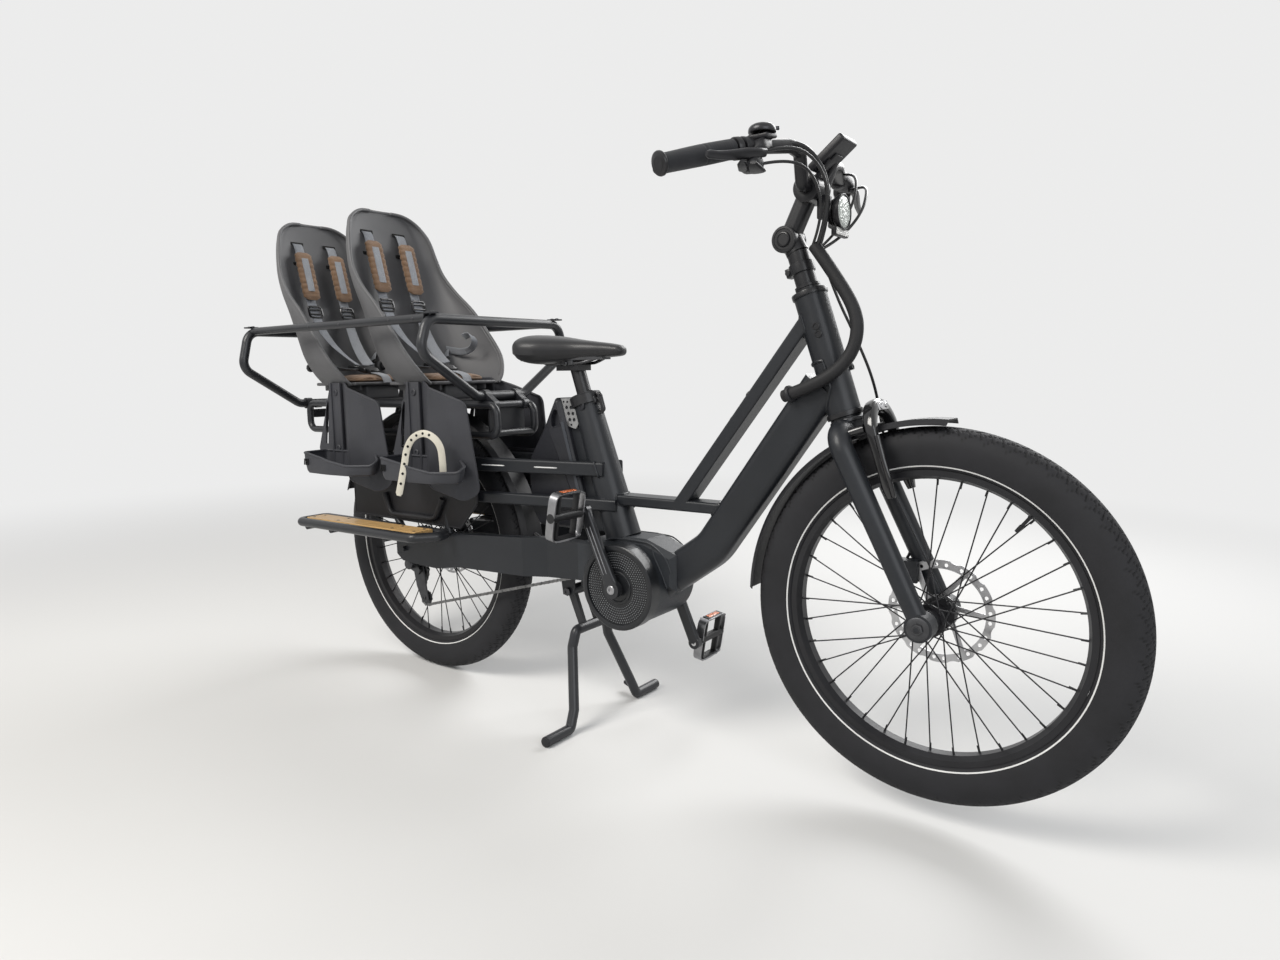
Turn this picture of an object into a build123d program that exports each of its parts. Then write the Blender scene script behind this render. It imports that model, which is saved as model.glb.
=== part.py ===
from build123d import *
import math
import os

# Longtail cargo bike for two children, in millimetres.
# Modelled level: X forward, Y to the rider's left, Z up, rear axle over the origin.
# Every solid is turned to the parked pitch and set down on the floor at the end.

os.makedirs("parts", exist_ok=True)

# Wheels and steering
AXLE_HEIGHT = 320.0
WHEELBASE = 1242.4
TYRE_RADIUS = 320.0
TYRE_WIDTH = 62.0
RIM_RADIUS = 250.0
RIM_WIDTH = 40.0
RIM_INNER_RADIUS = 234.0
HEAD_ANGLE = 72.0
FORK_OFFSET = 47.4
SPOKES_PER_WHEEL = 36
SPOKE_RADIUS = 1.2
ROTOR_RADIUS = 90.0

# Parked on the centre stand: nose up about the rear axle
PARKED_PITCH = 1.765

# Clearances
SHAFT_CLEARANCE = 0.05
RUNNING_GAP = 0.8
SEAM_GAP = 0.3

# Frame tubes
DOWN_TUBE_DEPTH = 72.0
DOWN_TUBE_WIDTH = 58.0
HEAD_TUBE_RADIUS = 29.0
STEERER_RADIUS = 14.3
SEAT_TUBE_TOP_RADIUS = 28.5
SEAT_TUBE_BASE_RADIUS = 37.5
SEATPOST_RADIUS = 15.9
STAY_INNER = 76.0
STAY_OUTER = 100.0
STAY_FRONT_INNER = 62.0
STAY_FRONT_OUTER = 86.0

# Drive
CRANK_X = 641.0
CRANK_Z = 306.0
CRANK_LENGTH = 167.0
CRANK_ANGLE = 113.5
DRUM_RADIUS = 87.0
DRUM_FACE = 88.0
CHAIN_Y = -50.0
PEDAL_CENTRE_Y = 160.0
PEDAL_TILT = 80.0

# Child seats and their guard rail
SEAT_PITCH = 300.0
RAIL_TUBE_RADIUS = 11.0
RACK_TUBE_RADIUS = 8.5
RACK_HALF_WIDTH = 60.0

# Stand
STAND_X = 470.0
STAND_Z = 265.0
STAND_FOOT_X = 533.0
STAND_TUBE_RADIUS = 11.0

nodes = {}


def bar(start, end, radius, end_radius=None):
    """Round bar between two points, tapered when a second radius is given."""
    first = Vector(*start)
    run = Vector(*end) - first
    plane = Plane(origin=first, z_dir=run)
    if end_radius is None:
        return extrude(plane * Circle(radius), amount=run.length)
    return plane * Pos(0, 0, run.length / 2) * Cone(radius, end_radius, run.length)


def tube(points, radius, bend, closed=False):
    """Round bar along straight runs joined by tangent arcs."""
    corners = [Vector(*point) for point in points]
    path = FilletPolyline(*corners, radius=bend, close=closed)
    start = Plane(origin=path @ 0, z_dir=path % 0)
    return sweep(start * Circle(radius), path=path)


def box_bar(start, end, width, height, corner):
    """Rectangular tube between two points, its width kept level."""
    first = Vector(*start)
    run = Vector(*end) - first
    side = Vector(-run.Y, run.X, 0)
    plane = Plane(origin=first, x_dir=side, z_dir=run)
    return extrude(plane * RectangleRounded(width, height, corner), amount=run.length)


def plate(outline, y_from, y_to):
    """Flat plate with an outline in X and Z, between two Y values."""
    face = make_face(Polyline(*[(x, z) for x, z in outline], close=True))
    placed = Plane(origin=(0, y_from, 0), x_dir=(1, 0, 0), z_dir=(0, -1, 0)) * face
    return extrude(placed, amount=y_from - y_to)


def disc(x, z, radius, y_from, y_to):
    """Round disc or drum with its axis along Y."""
    return Pos(x, (y_from + y_to) / 2, z) * Rot(90, 0, 0) * Cylinder(radius, abs(y_to - y_from))


def block(x0, x1, y0, y1, z0, z1):
    """Plain box between six limits."""
    return Pos((x0 + x1) / 2, (y0 + y1) / 2, (z0 + z1) / 2) * Box(x1 - x0, y1 - y0, z1 - z0)


def both_sides(shape):
    """The shape and its mirror image across the middle of the bike."""
    return shape + mirror(shape, about=Plane.XZ)


def spun(outline, x, z):
    """Ring turned about a wheel axis, from an outline drawn as width and radius."""
    ring = revolve(Plane.XY * make_face(outline), axis=Axis.X)
    return Pos(x, 0, z) * Rot(0, 0, 90) * ring


def bevelled(outline, half, bevel):
    """Plate across the middle of the bike whose two faces are bevelled all round."""
    face = make_face(Polyline(*outline, close=True))
    middle = plate(outline, bevel - half, half - bevel)
    placed = Plane(origin=(0, bevel - half, 0), x_dir=(1, 0, 0), z_dir=(0, -1, 0)) * face
    cap = extrude(placed, amount=bevel, taper=40)
    return middle + cap + mirror(cap, about=Plane.XZ)


# Steering axis, with distances along it, ahead of it and sideways
HEAD = math.radians(HEAD_ANGLE)
STEER_FOOT_X = WHEELBASE - FORK_OFFSET / math.sin(HEAD)


def steer(along, ahead, side=0.0):
    """Point given by its distance up the steering axis, ahead of it and sideways."""
    x = STEER_FOOT_X - along * math.cos(HEAD) + ahead * math.sin(HEAD)
    z = AXLE_HEIGHT + along * math.sin(HEAD) + ahead * math.cos(HEAD)
    return (x, side, z)


AXLE_ALONG = -FORK_OFFSET / math.tan(HEAD)

# Head tube and down tube
head_low, head_high = 349.0, 578.0
down_path = FilletPolyline(
    steer(413.8, -19.7), (817.5, 0, 393.0), (CRANK_X + 35, 0, CRANK_Z - 11.5), radius=110
)
down_start = Plane(origin=down_path @ 0, x_dir=(0, 1, 0), z_dir=down_path % 0)
down_tube = sweep(down_start * RectangleRounded(DOWN_TUBE_WIDTH, DOWN_TUBE_DEPTH, 17), path=down_path)
head_tube = bar(steer(head_low, 0), steer(head_high, 0), HEAD_TUBE_RADIUS)
collar = bar(steer(head_low, 0), steer(head_low + 9, 0), HEAD_TUBE_RADIUS + 2)
head_tube = head_tube + collar + bar(steer(head_high - 9, 0), steer(head_high, 0), HEAD_TUBE_RADIUS + 2)
steerer_room = bar(steer(head_low, 0), steer(head_high, 0), STEERER_RADIUS + SHAFT_CLEARANCE)
head_room = bar(steer(head_low + 18, 0), steer(head_high - 18, 0), 21)
down_tube = down_tube + head_tube - steerer_room - head_room
for side in (-13, 13):
    boss_start = Vector(*steer(430, HEAD_TUBE_RADIUS - 4, side))
    boss_run = Vector(*steer(430, HEAD_TUBE_RADIUS + 4, side)) - boss_start
    boss_plane = Plane(origin=boss_start, x_dir=(0, 1, 0), z_dir=boss_run)
    down_tube += extrude(boss_plane * RegularPolygon(6, 6), amount=boss_run.length)
    down_tube -= bar(steer(430, HEAD_TUBE_RADIUS - 6, side), steer(430, HEAD_TUBE_RADIUS + 4, side), 2.5)

# Motor casing under the seat tube, open to the rear for the chain
casing = disc(CRANK_X, CRANK_Z, 84, -60, 70)
casing += bevelled([(556, 322), (571, 388), (620, 400), (676, 400), (748, 374), (748, 300)], 42, 12)
casing += disc(CRANK_X, CRANK_Z, 62, 70, 79)
casing += plate([(540, 309), (540, 389), (625, 389), (600, 309)], -STAY_FRONT_OUTER, STAY_FRONT_OUTER)
casing -= disc(CRANK_X, CRANK_Z, 70, CHAIN_Y - 7, CHAIN_Y + 7)
casing -= block(530, CRANK_X, CHAIN_Y - 7, CHAIN_Y + 7, CRANK_Z - 84, CRANK_Z + 72)
casing -= disc(CRANK_X, CRANK_Z, DRUM_RADIUS + SEAM_GAP, -STAY_OUTER, -60)
casing -= disc(CRANK_X, CRANK_Z, 12 + SHAFT_CLEARANCE, -60, 79)
casing = casing - down_tube

# Seat tube, set on the casing
SEAT_LEAN = math.radians(72)


def seat_axis(z):
    """Point on the seat tube axis at a height."""
    return (596.0 - (z - 392.0) / math.tan(SEAT_LEAN), 0, z)


seat_tube = bar(seat_axis(392), seat_axis(684), SEAT_TUBE_BASE_RADIUS, SEAT_TUBE_TOP_RADIUS)
seat_tube = seat_tube - bar(seat_axis(520), seat_axis(700), SEATPOST_RADIUS + SHAFT_CLEARANCE)
seat_tube = seat_tube - casing

# Step-through bridge and slim top tube
cross_tube = box_bar((580, 0, 473), (800, 0, 473), 46, 22, 5) - seat_tube - down_tube
cross_tube = cross_tube & block(596, 830, -40, 40, 440, 500)
top_start = Vector(738, 0, 462)
top_run = Vector(*steer(536.2, -3.1)) - top_start
top_up = top_run.cross(Vector(0, 1, 0)).normalized()
top_tube = box_bar((738, 0, 462), steer(536.2, -3.1), 46, 25, 4) - down_tube - head_tube
top_tube = cross_tube + (top_tube & block(700, WHEELBASE, -40, 40, 463, 900))
for share in (0.47, 0.6):
    boss_foot = top_start + top_run * share + top_up * 8
    top_tube += bar(boss_foot, boss_foot + top_up * 8.5, 6)

# Two pairs of rails run back from the seat tube past the wheel
rail_table = [
    {"name": "upper", "z": 536.0, "height": 30.0, "start_x": 568.0, "end_x": -300.0},
    {"name": "lower", "z": 462.0, "height": 25.0, "start_x": 600.0, "end_x": 120.0},
]
rails = {}
for row in rail_table:
    path = FilletPolyline(
        (row["start_x"], 26, row["z"]), (250, 66, row["z"]), (row["end_x"], 66, row["z"]), radius=120
    )
    start = Plane(origin=path @ 0, x_dir=(0, 0, 1), z_dir=path % 0)
    rail = sweep(start * RectangleRounded(row["height"], 20, 5), path=path)
    rails[row["name"]] = both_sides(rail) - seat_tube - top_tube

# Chainstay boxes with dropouts, joined to the rails by struts
stay_outline = [
    (-30, 336), (-6, 362), (60, 368), (191, 374), (452, 390), (540, 389),
    (540, 309), (393, 301.5), (188, 296), (114, 284), (35, 286), (-10, 290), (-30, 305),
]
stay_plan = [
    (-40, STAY_INNER), (-40, STAY_OUTER), (395, STAY_OUTER), (455, STAY_FRONT_OUTER), (545, STAY_FRONT_OUTER),
    (545, STAY_FRONT_INNER), (455, STAY_FRONT_INNER), (395, STAY_INNER),
]
stay = plate(stay_outline, 60, STAY_OUTER)
stay = stay & extrude(Plane.XY.offset(250) * make_face(Polyline(*stay_plan, close=True)), amount=200)
stay += bar((150, 86, 362), (118, 72, 522), 9)
stay += bar((-10, 86, 350), (-150, 72, 522), 9)
stay = stay + disc(0, AXLE_HEIGHT, 26, 70, STAY_INNER)
stay = both_sides(stay) - rails["upper"] - rails["lower"]
stay += disc(0, AXLE_HEIGHT, 6, -STAY_OUTER - 8, STAY_OUTER + 8)

# Bridge and cheeks that carry the centre stand, and the chain roller beside them
stay += block(430, 492, -STAY_INNER, STAY_INNER, 322, 332)
stay += both_sides(plate([(446, 326), (456, 256), (484, 256), (490, 326)], 34, 40))
stay += disc(STAND_X, STAND_Z, 6, -44, 44)
ROLLER_X = 544.0
ROLLER_Z = 298.0
stay += disc(ROLLER_X, ROLLER_Z, 12, CHAIN_Y - 3, CHAIN_Y + 3)
stay += disc(ROLLER_X, ROLLER_Z, 4, -STAY_FRONT_INNER, CHAIN_Y)
stay += plate([(532, 288), (532, 312), (552, 312), (552, 288)], -STAY_FRONT_INNER - 6, -STAY_FRONT_INNER + 2)

# Rear brake body on the left stay
stay += block(-62, -24, 52, 84, 350, 392)
stay -= block(-66, -20, 50, 60, 340, 372)
stay -= disc(0, AXLE_HEIGHT, ROTOR_RADIUS + 3, 41, 50)

# Rack: two side loops, crossbars and a dark deck
rack_side = [
    (-420, 669), (292, 669), (296, 600), (-420, 600),
]
loop_path = [(x, RACK_HALF_WIDTH, z) for x, z in rack_side]
rack = both_sides(tube(loop_path, RACK_TUBE_RADIUS, 22, closed=True))
for x, z in [(274, 669), (288, 606), (-400, 669), (-60, 669)]:
    rack += bar((x, -RACK_HALF_WIDTH, z), (x, RACK_HALF_WIDTH, z), RACK_TUBE_RADIUS - 0.5)
for x in (150, -150):
    rack += both_sides(bar((x, 60, 600), (x, 66, 551), 8))
rack += block(-380, 230, -58, 58, 674, 680)
rack += block(262, 266, -56, 56, 606, 664)
rack += block(-430, -424, -60, 60, 632, 650) + block(-452, -428, -40, 40, 630, 652)
rack = rack - rails["upper"]

# Guard rail: two hoops across the bike joined by side bars
hoop_table = [
    {"x": 246.0, "low": 689.0, "bend": 787.0, "top": 856.0},
    {"x": -445.0, "low": 669.0, "bend": 765.0, "top": 857.0},
]
hoops = None
for row in hoop_table:
    half = [(74, row["low"]), (228, row["bend"]), (205, row["top"])]
    points = [(row["x"], y, z) for y, z in half] + [(row["x"], -y, z) for y, z in reversed(half)]
    hoop = tube(points, RAIL_TUBE_RADIUS, 34, closed=True)
    hoops = hoop if hoops is None else hoops + hoop
side_bars = both_sides(bar((236, 196, 858), (-435, 196, 858), 9.5))
for row in hoop_table:
    side_bars += both_sides(block(row["x"] - 14, row["x"] + 14, 184, 208, 866, 869.5))
guard_rail = hoops + side_bars


def tube_clamp(x_from, z_from, x_to, z_to):
    """Pair of clamp blocks joining two crosswise tubes."""
    angle = math.degrees(math.atan2(z_to - z_from, x_to - x_from))
    length = math.hypot(x_to - x_from, z_to - z_from)
    web = Pos((x_from + x_to) / 2, 48, (z_from + z_to) / 2) * Rot(0, -angle, 0) * Box(length, 16, 22)
    return both_sides(disc(x_from, z_from, 14.5, 40, 56) + disc(x_to, z_to, 12, 40, 56) + web)


guard_rail += tube_clamp(246, 689, 274, 669) - rack
guard_rail += tube_clamp(-445, 669, -400, 669) - rack
guard_rail = guard_rail - rack

# Rear mudguard over the wheel
guard_profile = [(-33, 332), (-22, 341), (22, 341), (33, 332), (33, 335), (23, 344), (-23, 344), (-33, 335)]


def mudguard(profile, x, z, start, sweep_angle):
    """Curved mudguard round a wheel, from a start angle measured up from forward."""
    face = make_face(Polyline(*profile, close=True))
    ring = revolve(Plane.XY * face, axis=Axis.X, revolution_arc=sweep_angle)
    turned = Rot(0, 0, 90) * ring
    return Pos(x, 0, z) * Rot(0, -start, 0) * turned


rear_mudguard = mudguard(guard_profile, 0, AXLE_HEIGHT, -20, 155)
rear_mudguard += block(-66, -54, -8, 8, 655, 664) - rack
rear_mudguard += bar((340, 0, 372), (436, 0, 328), 5) - stay

# Battery behind the seat tube and the dock it slides on
dock = plate([(452, 640), (492, 640), (562, 402), (522, 402)], -14, 14) - casing
seat_tube = seat_tube + dock
seat_tube -= bar(seat_axis(520), seat_axis(700), SEATPOST_RADIUS + SHAFT_CLEARANCE)
battery_outline = [
    (436, 686), (452, 683), (520, 440), (524, 402), (380, 402), (356, 440), (355, 503), (357, 552), (402, 622),
]
battery = bevelled(battery_outline, 31, 9) - seat_tube - rails["upper"] - rails["lower"]
handle_slot = [(428, 645), (437, 661), (447, 661), (456, 626), (428, 620)]
battery -= plate(handle_slot, -32, -18) + plate(handle_slot, 18, 32)

# Saddle, post and quick-release collar
seatpost = bar(seat_axis(560), seat_axis(748), SEATPOST_RADIUS)
seatpost += block(440, 500, -22, 22, 742, 754)
seat_collar = bar(seat_axis(668), seat_axis(690), 33)
seat_collar += tube([(520, 0, 684), (541, 0, 695), (553, 0, 654), (524, 0, 664)], 3.5, 5)
seatpost = seatpost + seat_collar - seat_tube

saddle_table = [
    {"x": 346.0, "half": 62.0, "low": 786.0, "high": 816.0},
    {"x": 390.0, "half": 88.0, "low": 762.0, "high": 820.0},
    {"x": 455.0, "half": 64.0, "low": 762.0, "high": 813.0},
    {"x": 520.0, "half": 27.0, "low": 770.0, "high": 803.0},
    {"x": 606.0, "half": 17.0, "low": 770.0, "high": 790.0},
]
sections = []
for row in saddle_table:
    plane = Plane(origin=(row["x"], 0, 0), x_dir=(0, 1, 0), z_dir=(1, 0, 0))
    half, low, high = row["half"], row["low"], row["high"]
    crown = ThreePointArc((-half, low), (0, high), (half, low))
    sections.append(plane * make_face(crown + Line((half, low), (-half, low))))
saddle = loft(sections)
saddle += both_sides(bar((400, 22, 765), (520, 22, 772), 3.5)) + both_sides(block(455, 490, 16, 28, 754, 772))

# Child seat shells, lofted through arcs that follow the bucket
shell_table = [
    {"z": 1150.0, "half": 62.0, "front": -150.0, "back": -168.0},
    {"z": 1128.0, "half": 102.0, "front": -139.0, "back": -166.0},
    {"z": 1085.0, "half": 124.0, "front": -117.0, "back": -160.0},
    {"z": 997.0, "half": 141.0, "front": -88.0, "back": -142.0},
    {"z": 900.0, "half": 153.0, "front": 8.0, "back": -118.0},
    {"z": 786.0, "half": 153.0, "front": 103.0, "back": -86.0},
    {"z": 722.0, "half": 112.0, "front": 135.0, "back": -60.0},
]
SHELL_THICKNESS = 5.0


def bucket_line(half, front, back, away):
    """Three arcs round one level section of the bucket, from one wing's edge to the other."""
    depth = front - back
    wing_middle = (front - 0.41 * depth, 0.96 * half)
    corner = (front - 0.73 * depth, 0.8 * half)
    right = ThreePointArc((front, -half), (wing_middle[0], -wing_middle[1]), (corner[0], -corner[1]))
    middle = ThreePointArc((corner[0], -corner[1]), (back, 0), corner)
    left = ThreePointArc(corner, wing_middle, (front, half))
    return (right + middle + left) if away else (left + middle + right)


def seat_shell(shift):
    """Bucket of one child seat, moved along the bike."""
    faces = []
    for row in shell_table:
        plane = Plane(origin=(shift, 0, row["z"]), x_dir=(1, 0, 0), z_dir=(0, 0, 1))
        half, front, back = row["half"], row["front"], row["back"]
        inner = half - SHELL_THICKNESS
        outer_line = bucket_line(half, front, back, True)
        inner_line = bucket_line(inner, front, back + SHELL_THICKNESS, False)
        ends = Line((front, half), (front, inner)) + Line((front, -inner), (front, -half))
        faces.append(plane * make_face(outer_line + inner_line + ends))
    shell = loft(faces)
    pan = Pos(shift, 0, 0) * block(-30, 138, -96, 96, 716, 724)
    legs = Pos(shift, 0, 0) * block(-40, 120, -52, 52, 680, 716)
    return shell + pan + legs


seat_front = seat_shell(0.0)
seat_rear = seat_shell(-SEAT_PITCH)


def seat_pad(shift):
    """Padded cushion on the seat pan."""
    return Pos(shift, 0, 0) * block(-8, 132, -80, 80, 724, 740)


pads = seat_pad(0.0) + seat_pad(-SEAT_PITCH)
seat_pads = pads - seat_front - seat_rear

# Harness: shoulder straps that follow the seat back down to one buckle
strap_table = [
    {"z": 1096.0, "x": -152.0}, {"z": 997.0, "x": -133.0}, {"z": 900.0, "x": -107.0}, {"z": 800.0, "x": -79.0},
]


def harness(shift):
    """Shoulder straps with pads, lap straps and a crotch buckle."""
    faces = [(row["x"] + 6, row["z"]) for row in strap_table]
    backs = [(row["x"] - 3, row["z"]) for row in reversed(strap_table)]
    webbing = plate(faces + backs, 30, 54)
    webbing += box_bar((-137, 42, 1062), (-107, 42, 946), 38, 14, 4)
    webbing += box_bar((-80, 42, 806), (58, 12, 757), 24, 4, 1)
    webbing = both_sides(webbing)
    webbing += block(44, 74, -22, 22, 740, 768)
    return Pos(shift, 0, 0) * webbing


harness_front = harness(0.0) - seat_front - seat_pads
harness_rear = harness(-SEAT_PITCH) - seat_rear - seat_pads

# Leg guards with slotted arms and foot cups
guard_outline = [(148, 712), (262, 678), (288, 480), (257, 461), (150, 484), (110, 520), (110, 728)]
arm_outline = [(60, 728), (112, 728), (112, 520), (-7, 552)]
slot_outline = [(36, 679), (48, 679), (34, 566), (20, 566)]
cup_outline = [(36, 118), (44, 196), (150, 205), (240, 200), (286, 168), (286, 150), (230, 118)]


def leg_guard(shift):
    """Pair of leg guards for one child seat."""
    arm = plate(arm_outline, 108, 113) - plate(slot_outline, 100, 120)
    bulge = ThreePointArc((112, 108), (200, 136), (292, 112))
    rim = ThreePointArc((292, 117), (200, 141), (112, 113))
    band = bulge + Line((292, 112), (292, 117)) + rim + Line((112, 113), (112, 108))
    shield = extrude(Plane.XY.offset(450) * make_face(band), amount=290)
    shield = shield & plate(guard_outline, 100, 150)
    cup = extrude(Plane.XY.offset(503) * make_face(Polyline(*cup_outline, close=True)), amount=54)
    room = extrude(Plane.XY.offset(507) * offset(make_face(Polyline(*cup_outline, close=True)), -4), amount=60)
    cup = cup - room
    column = block(64, 108, 113, 119, 507, 724)
    unit = arm + shield + column + cup
    hanger = block(40, 110, 60, 109, 716.2, 724)
    return Pos(shift, 0, 0) * both_sides(unit + hanger)


guard_front = leg_guard(0.0) - seat_front
guard_rear = leg_guard(-SEAT_PITCH) - seat_rear

# Running boards: bent tube frames and bamboo planks
BOARD_INNER = STAY_OUTER + STAND_TUBE_RADIUS + SEAM_GAP
BOARD_OUTER = 188.0
BOARD_Z = 374.0
board_corners = [
    (70, BOARD_INNER), (166, BOARD_INNER), (176, BOARD_INNER + 32), (140, BOARD_OUTER),
    (-300, BOARD_OUTER), (-300, BOARD_INNER), (-5, BOARD_INNER),
]
board_tube = tube([(x, y, BOARD_Z) for x, y in board_corners], STAND_TUBE_RADIUS, 15)
for x in (-270, -170, 40):
    board_tube += bar((x, 84, 364), (x, BOARD_OUTER, 364), 8)
boards = both_sides(board_tube) - stay
planks = both_sides(block(-286, 134, BOARD_INNER + 12, BOARD_OUTER - 12, BOARD_Z - 1, BOARD_Z + 11))
planks = planks - boards

# Dark panels beside the rear wheel and the bent tubes below them
skirt = plate([(-200, 392), (190, 386), (248, 447), (248, 515), (-200, 515)], 86, 90)
skirts = both_sides(skirt) - rails["upper"] - rails["lower"] - stay
guard_loop = both_sides(tube([(-72, 95, 452), (-52, 95, 402), (112, 95, 402), (140, 95, 452)], 7, 22))
skirts = skirts + guard_loop - stay - boards
skirts += both_sides(block(60, 84, 76, 90, 500, 545)) - rails["upper"]

# Stand: two splayed legs hanging from one pivot tube
pitch = math.radians(PARKED_PITCH)
foot_z = AXLE_HEIGHT - (AXLE_HEIGHT - STAND_TUBE_RADIUS + STAND_FOOT_X * math.sin(pitch)) / math.cos(pitch)
leg = tube(
    [
        (500, 0, 186), (500, 52, 186), (497, 62, 150), (530, 101, 30),
        (STAND_FOOT_X, 118, foot_z), (STAND_FOOT_X, 194, foot_z),
    ],
    STAND_TUBE_RADIUS, 12,
)
stand = leg + mirror(leg, about=Plane.XZ)
stand += disc(STAND_X, STAND_Z, 12, -33, 33)
stand += both_sides(plate([(460, 262), (480, 262), (508, 186), (492, 186)], 20, 30))
stand -= disc(STAND_X, STAND_Z, 6 + SHAFT_CLEARANCE, -60, 60)

# Chain path: circles with their side of the chain, from the sprocket round the ring and back
SPROCKET_RADIUS = 36.0
RING_RADIUS = 58.0
PULLEY_RADIUS = 15.0
CHAIN_HALF = 3.5
TEETH_GAP = 0.4
chain_circles = [
    {"x": 0.0, "z": AXLE_HEIGHT, "r": SPROCKET_RADIUS, "turn": -1},
    {"x": CRANK_X, "z": CRANK_Z, "r": RING_RADIUS, "turn": -1},
    {"x": ROLLER_X, "z": ROLLER_Z, "r": 12.0, "turn": 1},
    {"x": 14.0, "z": 189.0, "r": PULLEY_RADIUS, "turn": -1},
    {"x": 2.0, "z": 256.0, "r": PULLEY_RADIUS, "turn": 1},
]


def chain_loop(circles):
    """Closed path of straight runs and arcs round the circles, in X and Z."""
    touches = []
    for index, near in enumerate(circles):
        far = circles[(index + 1) % len(circles)]
        near_r = near["turn"] * (near["r"] + CHAIN_HALF + TEETH_GAP)
        far_r = far["turn"] * (far["r"] + CHAIN_HALF + TEETH_GAP)
        gap_x, gap_z = far["x"] - near["x"], far["z"] - near["z"]
        gap = math.hypot(gap_x, gap_z)
        heading = math.atan2(gap_z, gap_x) - math.asin((far_r - near_r) / gap)
        out_x, out_z = math.sin(heading), -math.cos(heading)
        touches.append((near["x"] + near_r * out_x, near["z"] + near_r * out_z))
        touches.append((far["x"] + far_r * out_x, far["z"] + far_r * out_z))
    edges = []
    for index, circle in enumerate(circles):
        arrive = touches[2 * index - 1]
        leave = touches[2 * index]
        radius = circle["r"] + CHAIN_HALF + TEETH_GAP
        first = math.atan2(arrive[1] - circle["z"], arrive[0] - circle["x"])
        last = math.atan2(leave[1] - circle["z"], leave[0] - circle["x"])
        span = (last - first) % (2 * math.pi)
        if circle["turn"] < 0:
            span -= 2 * math.pi
        middle = first + span / 2
        crest = (circle["x"] + radius * math.cos(middle), circle["z"] + radius * math.sin(middle))
        edges.append(ThreePointArc(arrive, crest, leave))
        edges.append(Line(leave, touches[2 * index + 1]))
    return edges


chain_plane = Plane(origin=(0, CHAIN_Y, 0), x_dir=(1, 0, 0), z_dir=(0, -1, 0))
chain_wire = Wire([edge for line in chain_loop(chain_circles) for edge in line.edges()])
chain_path = chain_plane * chain_wire
chain_start = Plane(origin=chain_path @ 0, x_dir=(0, 1, 0), z_dir=chain_path % 0)
chain = sweep(chain_start * Rectangle(7, 2 * CHAIN_HALF), path=chain_path)

# Rear derailleur with its cage and two pulleys
derailleur = disc(-12, 276, 13, -74, -58)
derailleur += plate([(-24, 270), (14, 270), (28, 184), (8, 176), (-12, 216)], -60, -56.5)
for row in chain_circles[3:]:
    derailleur += disc(row["x"], row["z"], PULLEY_RADIUS, CHAIN_Y - 3, CHAIN_Y + 3)
    derailleur += disc(row["x"], row["z"], 4, -60, CHAIN_Y)
derailleur += plate([(-30, 276), (0, 276), (0, 292), (-30, 292)], -76, -66) - stay
derailleur = derailleur - stay

# Drum cover on the right of the motor
drum_cover = disc(CRANK_X, CRANK_Z, DRUM_RADIUS, -DRUM_FACE, -60)
drum_cover = drum_cover - disc(CRANK_X, CRANK_Z, 76, -DRUM_FACE - 5, -DRUM_FACE + 3)
drum_cover = drum_cover - disc(CRANK_X, CRANK_Z, 12 + SHAFT_CLEARANCE, -DRUM_FACE, -60)

# Cranks, chainring and spindle
CRANK_ROOT = (CRANK_X, CRANK_Z)
crank_turn = math.radians(CRANK_ANGLE)
crank_end_x = CRANK_LENGTH * math.cos(crank_turn)
crank_end_z = CRANK_LENGTH * math.sin(crank_turn)
cranks = disc(CRANK_X, CRANK_Z, 12, -107, 107)
for sign in (-1, 1):
    tip_x = CRANK_X - sign * crank_end_x
    tip_z = CRANK_Z - sign * crank_end_z
    arm = box_bar((CRANK_X, sign * 100, CRANK_Z), (tip_x, sign * 100, tip_z), 14, 26, 5)
    arm += disc(CRANK_X, CRANK_Z, 18, sign * 93, sign * 107)
    arm += disc(tip_x, tip_z, 13, sign * 93, sign * 107)
    cranks += arm
    cranks -= disc(tip_x, tip_z, 6 + SHAFT_CLEARANCE, sign * 90, sign * 110)
chainring = disc(CRANK_X, CRANK_Z, RING_RADIUS, CHAIN_Y - 1.5, CHAIN_Y + 1.5)
cranks += chainring


def pedal(sign):
    """Cage pedal on its pin; the sign gives the side of the bike."""
    centre_x = CRANK_X - sign * crank_end_x
    centre_z = CRANK_Z - sign * crank_end_z
    cage = Box(100, 92, 24) - Box(84, 80, 30)
    cage += Box(90, 12, 22) + Rot(90, 0, 0) * Cylinder(10, 92)
    placed = Pos(centre_x, sign * PEDAL_CENTRE_Y, centre_z) * Rot(0, -PEDAL_TILT, 0) * cage
    pin = disc(centre_x, centre_z, 6, sign * 93, sign * 120)
    return placed + pin


# Wheels
half_tyre = TYRE_WIDTH / 2
half_rim = RIM_WIDTH / 2
TYRE_WALL = 6.5
belly = RIM_RADIUS + 0.48 * (TYRE_RADIUS - RIM_RADIUS)
shoulder = TYRE_RADIUS - 7


def tyre_line(wall):
    """Sidewalls and crown of the tyre at a depth below its surface, as width and radius."""
    edge, side = half_rim - wall, half_tyre - wall
    turn = 20 - 0.6 * wall
    right = ThreePointArc((-edge, RIM_RADIUS), (-side, belly), (-turn, shoulder - wall))
    crown = ThreePointArc((-turn, shoulder - wall), (0, TYRE_RADIUS - wall), (turn, shoulder - wall))
    return right + crown + ThreePointArc((turn, shoulder - wall), (side, belly), (edge, RIM_RADIUS))


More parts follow.
